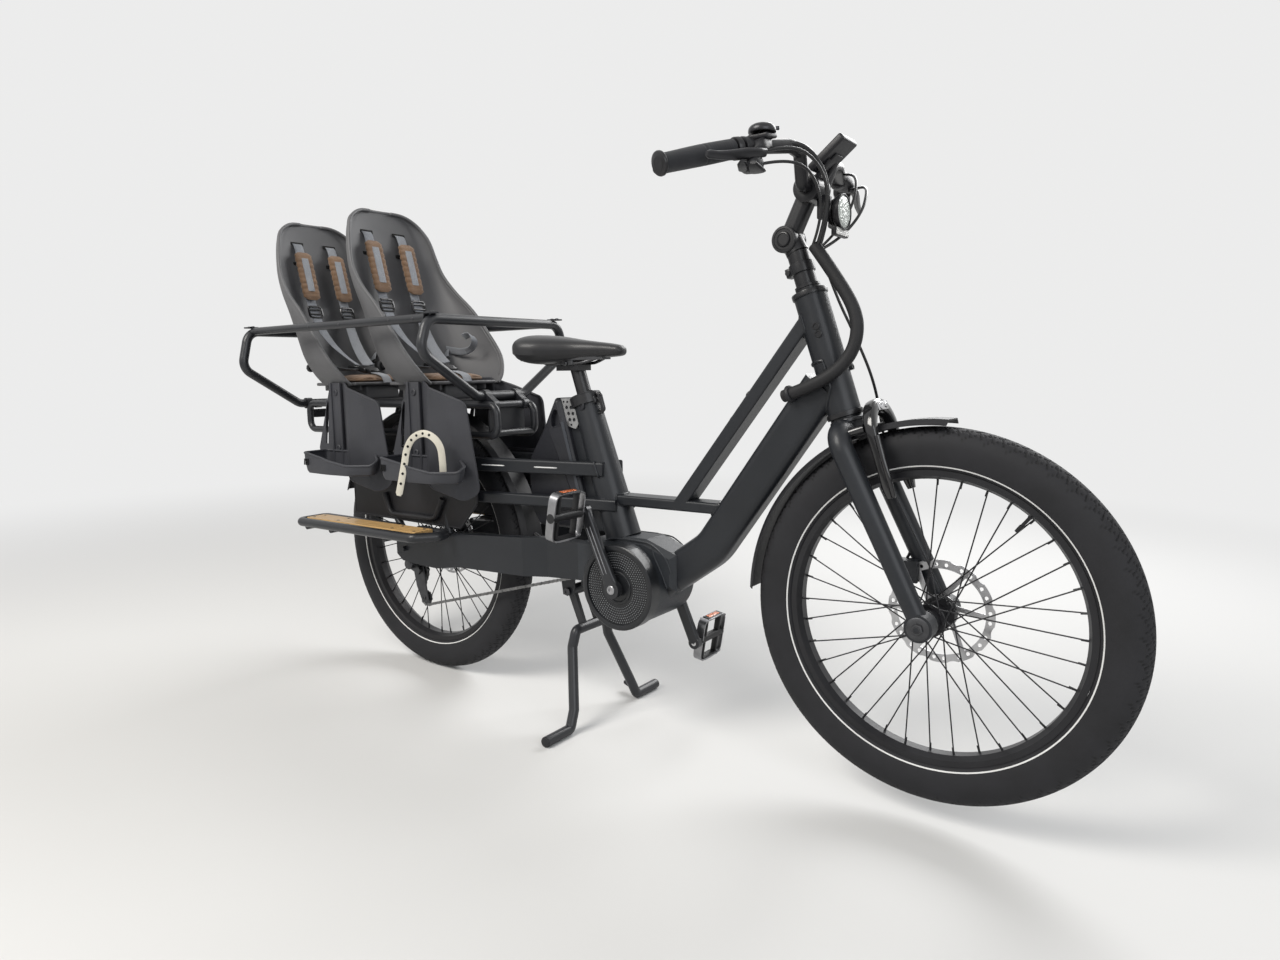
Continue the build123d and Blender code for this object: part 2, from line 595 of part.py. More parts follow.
bead = half_rim - TYRE_WALL
tyre_outline = tyre_line(0) + tyre_line(TYRE_WALL)
tyre_outline += Line((-half_rim, RIM_RADIUS), (-bead, RIM_RADIUS))
tyre_outline += Line((bead, RIM_RADIUS), (half_rim, RIM_RADIUS))
rim_outline = Polyline(
    (-half_rim, RIM_RADIUS), (-half_rim, RIM_INNER_RADIUS + 6), (-9, RIM_INNER_RADIUS), (9, RIM_INNER_RADIUS),
    (half_rim, RIM_INNER_RADIUS + 6), (half_rim, RIM_RADIUS), (12, RIM_RADIUS), (10, RIM_INNER_RADIUS + 9),
    (-10, RIM_INNER_RADIUS + 9), (-12, RIM_RADIUS),
    close=True,
)


def spoked_hub(x, z, right_flange, left_flange, right_end, left_end):
    """Hub shell with two flanges and crossed spokes running to the rim."""
    hub = disc(x, z, 15, right_end, left_end)
    for flange in (right_flange, left_flange):
        hub += disc(x, z, 28, flange - 1.6, flange + 1.6)
    hub += disc(x, z, 21, right_end + 6, right_flange) + disc(x, z, 21, left_flange, left_end - 6)
    spokes = []
    spoke_end = RIM_INNER_RADIUS + 2
    per_side = SPOKES_PER_WHEEL // 2
    step = 360.0 / per_side
    for flange, phase in ((right_flange, 0.0), (left_flange, step / 2)):
        for index in range(per_side):
            lead = 1 if index % 2 == 0 else -1
            rim_angle = math.radians(index * step + phase)
            hub_angle = rim_angle + lead * math.radians(62)
            toward = 1 if flange > 0 else -1
            inner = (x + 24 * math.cos(hub_angle), flange + lead * 1.4, z + 24 * math.sin(hub_angle))
            end_x, end_z = x + spoke_end * math.cos(rim_angle), z + spoke_end * math.sin(rim_angle)
            spokes.append(bar(inner, (end_x, toward * 4 + lead, end_z), SPOKE_RADIUS))
    wheel = hub + spun(rim_outline, x, z) + spokes
    return wheel - disc(x, z, 6 + SHAFT_CLEARANCE, right_end, left_end)


def brake_rotor(x, z, y):
    """Brake disc with a braking band on six arms."""
    rotor = disc(x, z, ROTOR_RADIUS, y, y + 2) - disc(x, z, ROTOR_RADIUS - 15, y, y + 2)
    rotor += disc(x, z, 30, y, y + 2)
    for index in range(6):
        turn = math.radians(60 * index)
        reach = ROTOR_RADIUS - 10
        lean = math.radians(60 * index + 24)
        start = (x + 24 * math.cos(lean), y + 1, z + 24 * math.sin(lean))
        end = (x + reach * math.cos(turn), y + 1, z + reach * math.sin(turn))
        rotor += box_bar(start, end, 2, 9, 0.5)
    cuts = []
    for index in range(12):
        turn = math.radians(30 * index + 15)
        scallop = ROTOR_RADIUS + 17
        cuts.append(disc(x + scallop * math.cos(turn), z + scallop * math.sin(turn), 20, y, y + 2))
        vent = ROTOR_RADIUS - 8
        for angle in (turn - 0.16, turn + 0.16):
            cuts.append(disc(x + vent * math.cos(angle), z + vent * math.sin(angle), 3.2, y, y + 2))
    return rotor - cuts - disc(x, z, 15, y, y + 2)


front_tyre = spun(tyre_outline, WHEELBASE, AXLE_HEIGHT)
front_hub = spoked_hub(WHEELBASE, AXLE_HEIGHT, -27, 27, -48, 48)
front_rotor = brake_rotor(WHEELBASE, AXLE_HEIGHT, 38) - front_hub
rear_tyre = spun(tyre_outline, 0, AXLE_HEIGHT)
rear_hub = spoked_hub(0, AXLE_HEIGHT, -24, 30, -68, 68)
rear_rotor = brake_rotor(0, AXLE_HEIGHT, 44) - rear_hub
cassette = None
for index, teeth_radius in enumerate((46, 42, 38, 34, 30, 26, 23)):
    y = -32 - index * 4.4
    ring = disc(0, AXLE_HEIGHT, teeth_radius if y > CHAIN_Y + 4 or y < CHAIN_Y - 4 else 36, y - 2.2, y)
    cassette = ring if cassette is None else cassette + ring
cassette += disc(0, AXLE_HEIGHT, 19, -62, -30)
cassette = cassette - rear_hub - disc(0, AXLE_HEIGHT, 15, -70, -25)

# Fork with its steerer, crown, legs and front axle
CROWN_ALONG = 326.0
LEG_SIDE = 66.0
fork = bar(steer(CROWN_ALONG, 0), steer(650, 0), STEERER_RADIUS)
fork += bar(steer(322, 0), steer(head_low - RUNNING_GAP, 0), 27)
crown_path = []
for side in (-LEG_SIDE, LEG_SIDE):
    foot = Vector(*steer(AXLE_ALONG, FORK_OFFSET, side))
    top = Vector(*steer(CROWN_ALONG, 0, side))
    knee = foot + (top - foot) * 0.84
    fork += bar(tuple(foot), tuple(knee), 16.5, 19.5)
    crown_path += [knee, top] if side < 0 else [top, knee]
    fork += disc(WHEELBASE, AXLE_HEIGHT, 23, math.copysign(50, side), math.copysign(82, side))
fork += tube([tuple(point) for point in crown_path], 19.5, 34)
fork += disc(WHEELBASE, AXLE_HEIGHT, 6, -88, 88)

# Front brake body behind the left leg, straddling the disc
fork += block(WHEELBASE - 82, WHEELBASE - 38, 27, 54, 366, 404)
fork -= disc(WHEELBASE, AXLE_HEIGHT, ROTOR_RADIUS + 3, 36, 42)

# Front mudguard, carried by the fork
front_profile = [(-34, 323), (-24, 330), (24, 330), (34, 323), (34, 325), (25, 333), (-25, 333), (-34, 325)]
front_mudguard = mudguard(front_profile, WHEELBASE, AXLE_HEIGHT, -2, 92)
front_mudguard += both_sides(bar(steer(305, -4, 30), steer(295, 4, 62), 3))
front_mudguard = front_mudguard - fork

# Ring lock in front of the fork crown
lock_plane = Plane(origin=steer(0, 44), x_dir=(0, 1, 0), z_dir=Vector(*steer(0, 1)) - Vector(*steer(0, 0)))
lock_outer = Pos(0, 252) * Rectangle(120, 104) + Pos(0, 300) * Circle(60)
lock_inner = Pos(0, 245) * Rectangle(82, 110) + Pos(0, 292) * Circle(41)
ring_lock = extrude(lock_plane * (lock_outer - lock_inner), amount=24)
ring_lock += both_sides(bar(steer(318, 8, 52), steer(318, 46, 52), 7)) - fork

# Stem, handlebar and grips, placed from the clamp at the middle of the bar
CLAMP = Vector(*steer(740.6, 57.1))


def from_clamp(ahead, side, up):
    """Point given from the bar clamp: level ahead of it, sideways and up."""
    return (CLAMP.X + ahead, side, CLAMP.Z + up)


stem = bar(steer(590, 0), steer(650, 0), 19) + bar(steer(650, 0), steer(677, -4), 20)
pivot = from_clamp(-43, 0, -81)
stem += disc(pivot[0], pivot[2], 23, -20, 20) + disc(pivot[0], pivot[2], 10, -24, 24)
stem += box_bar(pivot, from_clamp(-6, 0, -6), 34, 32, 12)
stem += disc(CLAMP.X, CLAMP.Z, 24, -24, 24)
for side in (-12, 12):
    stem += bar(from_clamp(14, side, 14), from_clamp(20, side, 20), 4)
stem = stem - bar(steer(580, 0), steer(651, 0), STEERER_RADIUS)
spacer = bar(steer(head_high + RUNNING_GAP, 0), steer(590, 0), 21)
stem = stem + spacer - bar(steer(570, 0), steer(651, 0), STEERER_RADIUS)
bar_table = [(0, 0, 0), (0, -40, 1), (8, -66, 48), (6, -96, 52), (-27, -198, 36), (-88, -340, -5)]
BAR_RADIUS = 11.1
half_bar = tube([from_clamp(*row) for row in bar_table], BAR_RADIUS, 14)
handlebar = half_bar + mirror(half_bar, about=Plane.XZ)
stem = stem - handlebar
grip = bar(from_clamp(-34, -214, 31.4), from_clamp(-86, -335, -3.5), 15.5, 17.5)
grip += bar(from_clamp(-34, -214, 31.4), from_clamp(-37, -221, 29.4), 18)
grip += bar(from_clamp(-84, -330, -2), from_clamp(-88, -340, -5), 19)
grips = both_sides(grip) - handlebar

# Brake levers, shifter, bell and display, with the cables that leave them
lever = box_bar(from_clamp(-6, -176, 30), from_clamp(-22, -262, 12), 13, 8, 3)
lever += box_bar(from_clamp(-22, -258, 13), from_clamp(-30, -296, 8), 15, 7, 3)
lever += box_bar(from_clamp(-18, -156, 42), from_clamp(-4, -184, 30), 24, 20, 6)
lever_room = bar(from_clamp(-18, -240, 22), from_clamp(-27, -262, 15), 2)
controls = both_sides(lever - lever_room)
shifter = Pos(*from_clamp(-13, -195, 8)) * Box(34, 36, 18) + Pos(*from_clamp(8, -206, 2)) * Box(26, 22, 6)
controls = controls + shifter - handlebar - grips
bell_foot = from_clamp(-12, -160, 46)
bell = bar(bell_foot, from_clamp(-12, -160, 66), 5)
dome = Sphere(22) & Pos(0, 0, 11) * Box(44, 44, 22)
bell += Pos(*from_clamp(-12, -160, 62)) * (Cylinder(22, 6) + Pos(0, 0, 3) * dome)
controls = controls + bell - handlebar
display = Pos(*from_clamp(37, 0, 51)) * Rot(0, 52, 0) * Box(14, 62, 74)
display += bar(from_clamp(12, 0, 15), from_clamp(36, 0, 46), 7)
display = display - handlebar - stem
CABLE_RADIUS = 2.6
cable_table = [
    [(-2, -182, 28), (44, -150, 18), (62, -80, -32), (32, -44, -80), (18, -28, -100)],
    [(-4, -190, 8), (30, -140, -2), (44, -84, -48), (22, -48, -86), (12, -32, -102)],
    [(-2, 182, 28), (48, 142, 14), (68, 62, -34), (46, 6, -96), (20, -14, -104)],
]
cables = [tube([from_clamp(*point) for point in row], CABLE_RADIUS, 24) for row in cable_table]
controls = controls + display + cables
controls = controls - stem
headlight = bar(from_clamp(32, 0, -44), from_clamp(52, 0, -44), 24, 30)
headlight += bar(from_clamp(52, 0, -44), from_clamp(60, 0, -44), 30)
headlight += Pos(*from_clamp(23, 0, -32)) * Box(22, 16, 40)
headlight += Pos(*from_clamp(54, 0, -77)) * Box(12, 52, 14)
headlight = headlight - handlebar - stem - controls
sleeve_table = [
    (16, -24, -98), (56, -29, -152), (95, -33, -227), (86, -39, -270), (42, -48, -326), (-34, -36, -353),
]
sleeve = tube([from_clamp(*point) for point in sleeve_table], 11, 26) - down_tube - stem - controls

nodes["down_tube"] = down_tube
nodes["motor_casing"] = casing
nodes["seat_tube"] = seat_tube
nodes["top_tube"] = top_tube
nodes["rails"] = rails["upper"] + rails["lower"]
nodes["chainstays"] = stay - casing
nodes["rack"] = rack
nodes["guard_rail"] = guard_rail
nodes["rear_mudguard"] = rear_mudguard
nodes["battery"] = battery
nodes["seatpost"] = seatpost
nodes["saddle"] = saddle - seatpost
nodes["seat_shell_front"] = seat_front
nodes["seat_shell_rear"] = seat_rear
nodes["seat_pads"] = seat_pads
nodes["harness_front"] = harness_front
nodes["harness_rear"] = harness_rear
nodes["leg_guards_front"] = guard_front
nodes["leg_guards_rear"] = guard_rear
nodes["board_frames"] = boards
nodes["planks"] = planks
nodes["wheel_skirts"] = skirts
nodes["stand"] = stand
nodes["derailleur"] = derailleur
nodes["chain"] = chain
nodes["drum_cover"] = drum_cover
nodes["cranks"] = cranks
nodes["pedal_right"] = pedal(-1)
nodes["pedal_left"] = pedal(1)
nodes["front_tyre"] = front_tyre
nodes["front_wheel"] = front_hub
nodes["front_rotor"] = front_rotor
nodes["rear_tyre"] = rear_tyre
nodes["rear_wheel"] = rear_hub
nodes["rear_rotor"] = rear_rotor
nodes["cassette"] = cassette
nodes["fork"] = fork
nodes["front_mudguard"] = front_mudguard
nodes["ring_lock"] = ring_lock
nodes["stem"] = stem
nodes["handlebar"] = handlebar
nodes["grips"] = grips
nodes["controls"] = controls
nodes["headlight"] = headlight
nodes["cable_sleeve"] = sleeve


def parked(shape):
    """Turn a level shape to the parked pitch about the rear axle."""
    return Pos(0, 0, AXLE_HEIGHT) * Rot(0, -PARKED_PITCH, 0) * Pos(0, 0, -AXLE_HEIGHT) * shape


# Set the parked bike down so the origin is the middle of its footprint, on the floor
standing = {name: parked(shape) for name, shape in nodes.items()}
boxes = [shape.bounding_box() for shape in standing.values()]
ROW_X = (min(box.min.X for box in boxes) + max(box.max.X for box in boxes)) / 2
ROW_Y = (min(box.min.Y for box in boxes) + max(box.max.Y for box in boxes)) / 2
ROW_Z = min(box.min.Z for box in boxes)

for name, shape in standing.items():
    export_step(Pos(-ROW_X, -ROW_Y, -ROW_Z) * shape, f"parts/{name}.step")
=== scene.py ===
import math

import bmesh
import bpy
from mathutils import Matrix, Vector


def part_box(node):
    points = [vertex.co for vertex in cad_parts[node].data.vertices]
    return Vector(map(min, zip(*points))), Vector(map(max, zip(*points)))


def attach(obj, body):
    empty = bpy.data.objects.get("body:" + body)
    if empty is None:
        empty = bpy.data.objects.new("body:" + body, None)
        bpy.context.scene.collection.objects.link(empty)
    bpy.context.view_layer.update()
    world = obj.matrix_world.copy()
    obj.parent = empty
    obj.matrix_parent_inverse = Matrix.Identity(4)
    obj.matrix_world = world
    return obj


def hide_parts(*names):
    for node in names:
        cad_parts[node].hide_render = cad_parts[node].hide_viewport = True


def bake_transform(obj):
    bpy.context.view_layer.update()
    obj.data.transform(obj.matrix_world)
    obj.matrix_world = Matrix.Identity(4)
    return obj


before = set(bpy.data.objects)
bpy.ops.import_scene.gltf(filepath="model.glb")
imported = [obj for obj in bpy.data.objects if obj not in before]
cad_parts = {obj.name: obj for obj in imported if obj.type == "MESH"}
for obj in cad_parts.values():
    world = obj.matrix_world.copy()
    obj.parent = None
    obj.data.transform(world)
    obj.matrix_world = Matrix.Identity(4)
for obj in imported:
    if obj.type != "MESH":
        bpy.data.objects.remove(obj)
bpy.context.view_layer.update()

# Stage, light and camera
# The bike stands parked on a pale floor in plain studio light, seen from its right front,
# a little above the axles, as a person walking up to it would see it.
scene = bpy.context.scene
scene.view_settings.view_transform = "Standard"
AXLE_HEIGHT = 320.0
PARKED_PITCH = math.radians(1.765)
low_corner, high_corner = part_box("rear_tyre")
rear_axle = (Vector(low_corner) + Vector(high_corner)) / 2
nose_up = Matrix.Rotation(-PARKED_PITCH, 4, "Y")
LEVEL = Matrix.Translation(rear_axle) @ nose_up @ Matrix.Scale(0.001, 4) @ Matrix.Translation((0, 0, -AXLE_HEIGHT))


def placed(name, data):
    """New object in the scene."""
    made = bpy.data.objects.new(name, data)
    scene.collection.objects.link(made)
    return made


def spun(degrees, axis="Y"):
    """Turn about an axis."""
    return Matrix.Rotation(math.radians(degrees), 4, axis)


camera_data = bpy.data.cameras.new("camera")
camera_data.sensor_width, camera_data.lens, camera_data.clip_start = 36.0, 23.683, 0.05
camera = placed("camera", camera_data)
stand_point = Matrix.Translation((1.63972 + rear_axle.x, -1.39436, 0.78585))
camera.matrix_world = stand_point @ spun(35.801, "Z") @ spun(90 - 8.305, "X") @ spun(0.373, "Z")
scene.camera = camera
for name, place, aim, size, watts, tint in (
    ("key", (-0.9, -2.7, 3.1), (0.0, 0.0, 0.6), (1.7, 1.7), 135, (1.0, 0.97, 0.92)),
    ("fill", (3.2, -1.9, 1.9), (0.2, 0.0, 0.5), (2.4, 2.0), 42, (0.93, 0.96, 1.0)),
    ("back", (0.4, 3.0, 2.6), (0.0, 0.0, 0.7), (3.0, 1.6), 105, (1.0, 1.0, 1.0)),
):
    lamp = bpy.data.lights.new(name, "AREA")
    lamp.shape, lamp.energy, lamp.color = "RECTANGLE", watts, tint
    lamp.size, lamp.size_y = size
    look = (Vector(aim) - Vector(place)).to_track_quat("-Z", "Y").to_matrix().to_4x4()
    placed(name, lamp).matrix_world = Matrix.Translation(place) @ look


def wired(tree, kind, inputs, **settings):
    """New node; each input is a value, or another node's output to link."""
    node = tree.nodes.new(kind)
    for key, value in settings.items():
        setattr(node, key, value)
    for key, value in inputs.items():
        if isinstance(value, bpy.types.NodeSocket):
            tree.links.new(value, node.inputs[key])
        else:
            node.inputs[key].default_value = value
    return node


BACKDROP = (0.84, 0.84, 0.838, 1.0)
world = bpy.data.worlds.new("studio")
world.use_nodes = True
scene.world = world
tree = world.node_tree
rays = wired(tree, "ShaderNodeLightPath", {}).outputs
direct = wired(
    tree, "ShaderNodeMath", {0: rays["Is Camera Ray"], 1: rays["Is Glossy Ray"]}, operation="MAXIMUM"
)
seen = wired(
    tree, "ShaderNodeMath", {0: direct.outputs[0], 1: rays["Is Transmission Ray"]}, operation="MAXIMUM"
)
strength = wired(tree, "ShaderNodeMapRange", {"Value": seen.outputs[0], "To Min": 0.4, "To Max": 1.0})
tree.nodes["Background"].inputs["Color"].default_value = BACKDROP
tree.links.new(strength.outputs["Result"], tree.nodes["Background"].inputs["Strength"])

floor_mesh = bpy.data.meshes.new("floor")
floor_mesh.from_pydata([(-40, -40, 0), (40, -40, 0), (40, 40, 0), (-40, 40, 0)], [], [(0, 1, 2, 3)])
floor = placed("floor", floor_mesh)
floor_finish = bpy.data.materials.new("studio_floor")
floor_finish.use_nodes = True
tree = floor_finish.node_tree
matt = tree.nodes["Principled BSDF"]
matt.inputs["Base Color"].default_value = (0.66, 0.66, 0.655, 1.0)
matt.inputs["Roughness"].default_value = 0.85
spot = wired(tree, "ShaderNodeTexCoord", {}).outputs["Object"]
distance = wired(tree, "ShaderNodeVectorMath", {0: spot}, operation="LENGTH").outputs["Value"]
fade_range = {"Value": distance, "From Min": 1.3, "From Max": 4.2}
fade = wired(tree, "ShaderNodeMapRange", fade_range, interpolation_type="SMOOTHSTEP").outputs["Result"]
far_floor = wired(tree, "ShaderNodeEmission", {"Color": BACKDROP}).outputs[0]
rays = wired(tree, "ShaderNodeLightPath", {}).outputs
only_seen = wired(tree, "ShaderNodeMath", {0: fade, 1: rays["Is Camera Ray"]}, operation="MULTIPLY").outputs[0]
blended = wired(tree, "ShaderNodeMixShader", {"Fac": only_seen, 1: matt.outputs[0], 2: far_floor})
tree.links.new(blended.outputs[0], tree.nodes["Material Output"].inputs["Surface"])
floor_mesh.materials.append(floor_finish)

# Frame tubes
# Welded aluminium tubes in satin charcoal powder coat: a deep down tube, a tapering seat tube,
# a slim step-through bar, two pairs of rails and the box stays. Beads of weld close the joints.


def surface(
    name, colour, rough, metal=0.0, vary=0.14, patch=9.0, bump=0.12, grain=1500.0, coat=0.0, sheen=0.0
):
    """Finish whose colour and gloss drift a little from place to place, over a fine grain."""
    made = bpy.data.materials.new(name)
    made.use_nodes = True
    tree = made.node_tree
    place = wired(tree, "ShaderNodeTexCoord", {}, name="place").outputs["Object"]
    patches = {"Vector": place, "Scale": patch, "Detail": 7.0, "Roughness": 0.62}
    drift = wired(tree, "ShaderNodeTexNoise", patches).outputs["Fac"]
    tint = wired(tree, "ShaderNodeValToRGB", {"Fac": drift}, name="tint")
    for stop, position, share in ((0, 0.32, 1 - vary), (1, 0.68, 1 + vary)):
        tint.color_ramp.elements[stop].position = position
        tint.color_ramp.elements[stop].color = [min(channel * share, 1.0) for channel in colour] + [1.0]
    limits = {"Value": drift, "To Min": max(rough - 0.07, 0.02), "To Max": min(rough + 0.07, 1.0)}
    gloss = wired(tree, "ShaderNodeMapRange", limits)
    pores = wired(tree, "ShaderNodeTexNoise", {"Vector": place, "Scale": grain, "Detail": 2.0}).outputs["Fac"]
    relief = wired(
        tree, "ShaderNodeBump", {"Strength": bump, "Distance": 0.0004, "Height": pores}, name="relief"
    )
    shader = tree.nodes["Principled BSDF"].inputs
    shader["Metallic"].default_value = metal
    shader["Specular IOR Level"].default_value = 0.5 if metal > 0.5 else 0.34
    shader["Coat Weight"].default_value = coat
    shader["Sheen Weight"].default_value = sheen
    tree.links.new(tint.outputs["Color"], shader["Base Color"])
    tree.links.new(gloss.outputs[0], shader["Roughness"])
    tree.links.new(relief.outputs["Normal"], shader["Normal"])
    return made


def dress(finish, *names):
    """Give CAD pieces their finish without touching their meshes."""
    for name in names:
        for material_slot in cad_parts[name].material_slots:
            material_slot.link = "OBJECT"
            material_slot.material = finish


powder_coat = surface("powder_coat", (0.0125, 0.014, 0.017), 0.40, bump=0.22, grain=2200.0, coat=0.05)
dress(powder_coat, "down_tube", "seat_tube", "top_tube", "rails", "chainstays", "fork")


def skin(rings, closed=False):
    """Points and faces over a row of rings that all have the same number of points."""
    across, count, faces = len(rings[0]), len(rings), []
    for row in range(count if closed else count - 1):
        near, far = row * across, (row + 1) % count * across
        for step in range(across):
            after = (step + 1) % across
            faces.append((near + step, near + after, far + after, far + step))
    if not closed:
        faces += [tuple(reversed(range(across))), tuple(range((count - 1) * across, count * across))]
    return [tuple(point) for ring in rings for point in ring], faces


def turns(count):
    """Equal steps once round, in radians."""
    return [2 * math.pi * step / count for step in range(count)]


def circle(centre, lean, side, radius, sides):
    """Points round a centre, in the plane of two directions."""
    return [centre + (lean * math.cos(turn) + side * math.sin(turn)) * radius for turn in turns(sides)]


def heading(run, index, closed=False):
    """Direction of a run of points at one of them."""
    if closed:
        return (run[(index + 1) % len(run)] - run[index - 1]).normalized()
    return (run[min(index + 1, len(run) - 1)] - run[max(index - 1, 0)]).normalized()


def tube_skin(path, radius, sides=12, closed=False):
    """Round tube along a run of points; the radius may be a list."""
    path, lean, rings = [Vector(point) for point in path], None, []
    for index, here in enumerate(path):
        along = heading(path, index, closed)
        lean = along.orthogonal().normalized() if lean is None else lean
        lean = (lean - along * lean.dot(along)).normalized()
        reach = radius[index] if isinstance(radius, (list, tuple)) else radius
        rings.append(circle(here, lean, along.cross(lean), reach, sides))
    return skin(rings, closed)


def joined(*skins):
    """Several skins as one."""
    points, faces = [], []
    for more_points, more_faces in skins:
        faces += [tuple(index + len(points) for index in face) for face in more_faces]
        points += more_points
    return points, faces


def mirrored(*skins):
    """Skins and their mirror image across the middle of the bike."""
    points, faces = joined(*skins)
    return joined(
        (points, faces), ([(x, -y, z) for x, y, z in points], [tuple(reversed(face)) for face in faces])
    )


def mended(name, shape, merge=0.002):
    """Mesh of a skin with doubled points merged and every face turned outward."""
    mesh = bpy.data.meshes.new(name)
    mesh.from_pydata(shape[0], [], shape[1])
    work = bmesh.new()
    work.from_mesh(mesh)
    if merge:
        bmesh.ops.remove_doubles(work, verts=work.verts, dist=merge)
    bmesh.ops.recalc_face_normals(work, faces=work.faces)
    work.to_mesh(mesh)
    work.free()
    return mesh


def finished(name, mesh, finish, body, crease=38.0):
    """Object of a mesh in the level bike's millimetres, set down parked, with finish and body."""
    mesh.transform(LEVEL)
    if not mesh.materials:
        mesh.materials.append(finish)
    mesh.shade_smooth()
    mesh.set_sharp_from_angle(angle=math.radians(crease))
    made = placed(name, mesh)
    if body:
        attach(made, body)
    return made


def piece(name, shape, finish, body, crease=38.0):
    """Finished piece from a skin or a list of skins."""
    shape = joined(*shape) if isinstance(shape, list) else shape
    return finished(name, mended(name, shape), finish, body, crease)


HEAD = SEAT = math.radians(72.0)
WHEELBASE = 1242.4
FORK_OFFSET = 47.4
STEER_FOOT_X = WHEELBASE - FORK_OFFSET / math.sin(HEAD)
LEFT, UP = Vector((0, 1, 0)), Vector((0, 0, 1))


def steer(along, ahead, side=0.0):
    """Point given by its distance up the steering axis, ahead of it and sideways."""
    x = STEER_FOOT_X - along * math.cos(HEAD) + ahead * math.sin(HEAD)
    return Vector((x, side, AXLE_HEIGHT + along * math.sin(HEAD) + ahead * math.cos(HEAD)))


def weld_bead(outline, toward, axis_point, axis, radius, thick=2.4):
    """Bead of weld where a tube's outline, carried along a direction, meets a round tube."""
    run, axis, seam = Vector(toward).normalized(), axis.normalized(), []
    flat_run = run - axis * run.dot(axis)
    a = flat_run.dot(flat_run)
    for start in outline:
        gap = start - Vector(axis_point)
        flat_gap = gap - axis * gap.dot(axis)
        b, c = flat_gap.dot(flat_run), flat_gap.dot(flat_gap) - radius * radius
        seam.append(start + run * ((-b - math.sqrt(max(b * b - a * c, 0.0))) / a))
    return tube_skin(
        seam, [thick * (1 + 0.14 * math.sin(index * 1.9)) for index in range(len(seam))], 8, closed=True
    )


def box_outline(centre, up, width, height, corner=5.0, side=LEFT):
    """Points round a rectangular tube with rounded corners."""
    outline, dense = [], []
    for quarter, (sx, sy) in enumerate(((1, 1), (-1, 1), (-1, -1), (1, -1))):
        for step in range(5):
            angle = math.radians(90 * quarter + 90 * step / 4)
            x = sx * (width / 2 - corner) + corner * math.cos(angle)
            y = sy * (height / 2 - corner) + corner * math.sin(angle)
            outline.append(Vector(centre) + side * x + up * y)
    for index, point in enumerate(outline):
        after = outline[(index + 1) % len(outline)]
        parts = max(int((after - point).length / 4), 1)
        dense.extend(point.lerp(after, part / parts) for part in range(parts))
    return dense


steer_up = steer(1, 0) - steer(0, 0)
seat_lean = Vector((-math.cos(SEAT), 0, math.sin(SEAT)))
beads = []
for height, tall, radius in ((536, 31, 30.8), (462, 26, 34.6)):
    for sign in (-1, 1):
        run = Vector((318, -40 * sign, 0)).normalized()
        outline = box_outline((470, sign * 38.4, height), UP, 21, tall, side=Vector((-run.y, run.x, 0)))
        beads.append(
            weld_bead(outline, run, (596 - (height - 392) / math.tan(SEAT), 0, height), seat_lean, radius)
        )
BRIDGE = (700, 0, 473)
beads.append(weld_bead(box_outline(BRIDGE, UP, 47, 23), (-1, 0, 0), (569.7, 0, 473), seat_lean, 35.2))
top_run = (steer(536.2, -3.1) - Vector((738, 0, 462))).normalized()
slim = box_outline((860, 0, 618.6), LEFT.cross(top_run).normalized(), 47, 26, 4)
beads.append(weld_bead(slim, top_run, steer(460, 0), steer_up, 29.0))
down_run = Vector((1046 - 817.5, 0, 707.5 - 393)).normalized()
deep = box_outline((880, 0, 479), LEFT.cross(down_run).normalized(), 58, 72, 17)
beads.append(weld_bead(deep, down_run, steer(400, 0), steer_up, 29.0, 3.0))


def at_down_tube(outline, ahead):
    """Outline carried to the upper face of the down tube, and a little further ahead."""
    run = []
    for point in outline:
        drop = 17 - math.sqrt(17 ** 2 - max(abs(point.y) - 12, 0.0) ** 2)
        face = 817.5 + (point.z - 393) * down_run.x / down_run.z - (36 - drop) / down_run.z
        run.append((face + ahead, point.y, point.z))
    return run


stub = box_outline(BRIDGE, UP, 46, 22)
ends = [[(799.4, point.y, point.z) for point in stub], at_down_tube(stub, 2.0)]
piece("bridge_end", skin(ends), powder_coat, "frame")
beads.append(tube_skin(at_down_tube(box_outline(BRIDGE, UP, 48, 24), -0.6), 2.4, 8, closed=True))
weld_paint = surface("weld_paint", (0.014, 0.0155, 0.0185), 0.36, bump=0.5, grain=700.0, coat=0.05)
piece("frame_welds", beads, weld_paint, "frame")

# Thin pale lines along the upper rails, cut from film and pressed on
stripe_white = surface("stripe_white", (0.62, 0.62, 0.62), 0.45, vary=0.05, bump=0.03)
lines = []
for x_from, x_to in ((255, 318), (398, 458)):
    rings = []
    for step in range(9):
        x = x_from + (x_to - x_from) * step / 8
        half, taper = 36.25 + (568.0 - x) / 318.0 * 40.0, 0.7 if step in (0, 8) else 1.3
        ring = ((-0.2, -taper), (-0.2, taper), (0.5, taper), (0.5, -taper))
        rings.append([(x, out - half, 536.0 + up) for out, up in ring])
    lines.append(skin(rings))
piece("rail_lines", mirrored(*lines), stripe_white, "frame")

# Motor casing and drum cover
# Cast housing round the crank, greyer and rougher than the tubes, with a parting seam.
# The round cover on the right has rings of small pale studs and a dark well in the middle.
casing_cast = surface("casing_cast", (0.021, 0.0235, 0.0275), 0.46, vary=0.2, patch=14, bump=0.5, grain=900.0)
cover_black = surface("cover_black", (0.0115, 0.0125, 0.0145), 0.36, vary=0.2, bump=0.2, coat=0.15)
dress(casing_cast, "motor_casing")
dress(cover_black, "drum_cover")
CRANK = Vector((641, 0, 306))


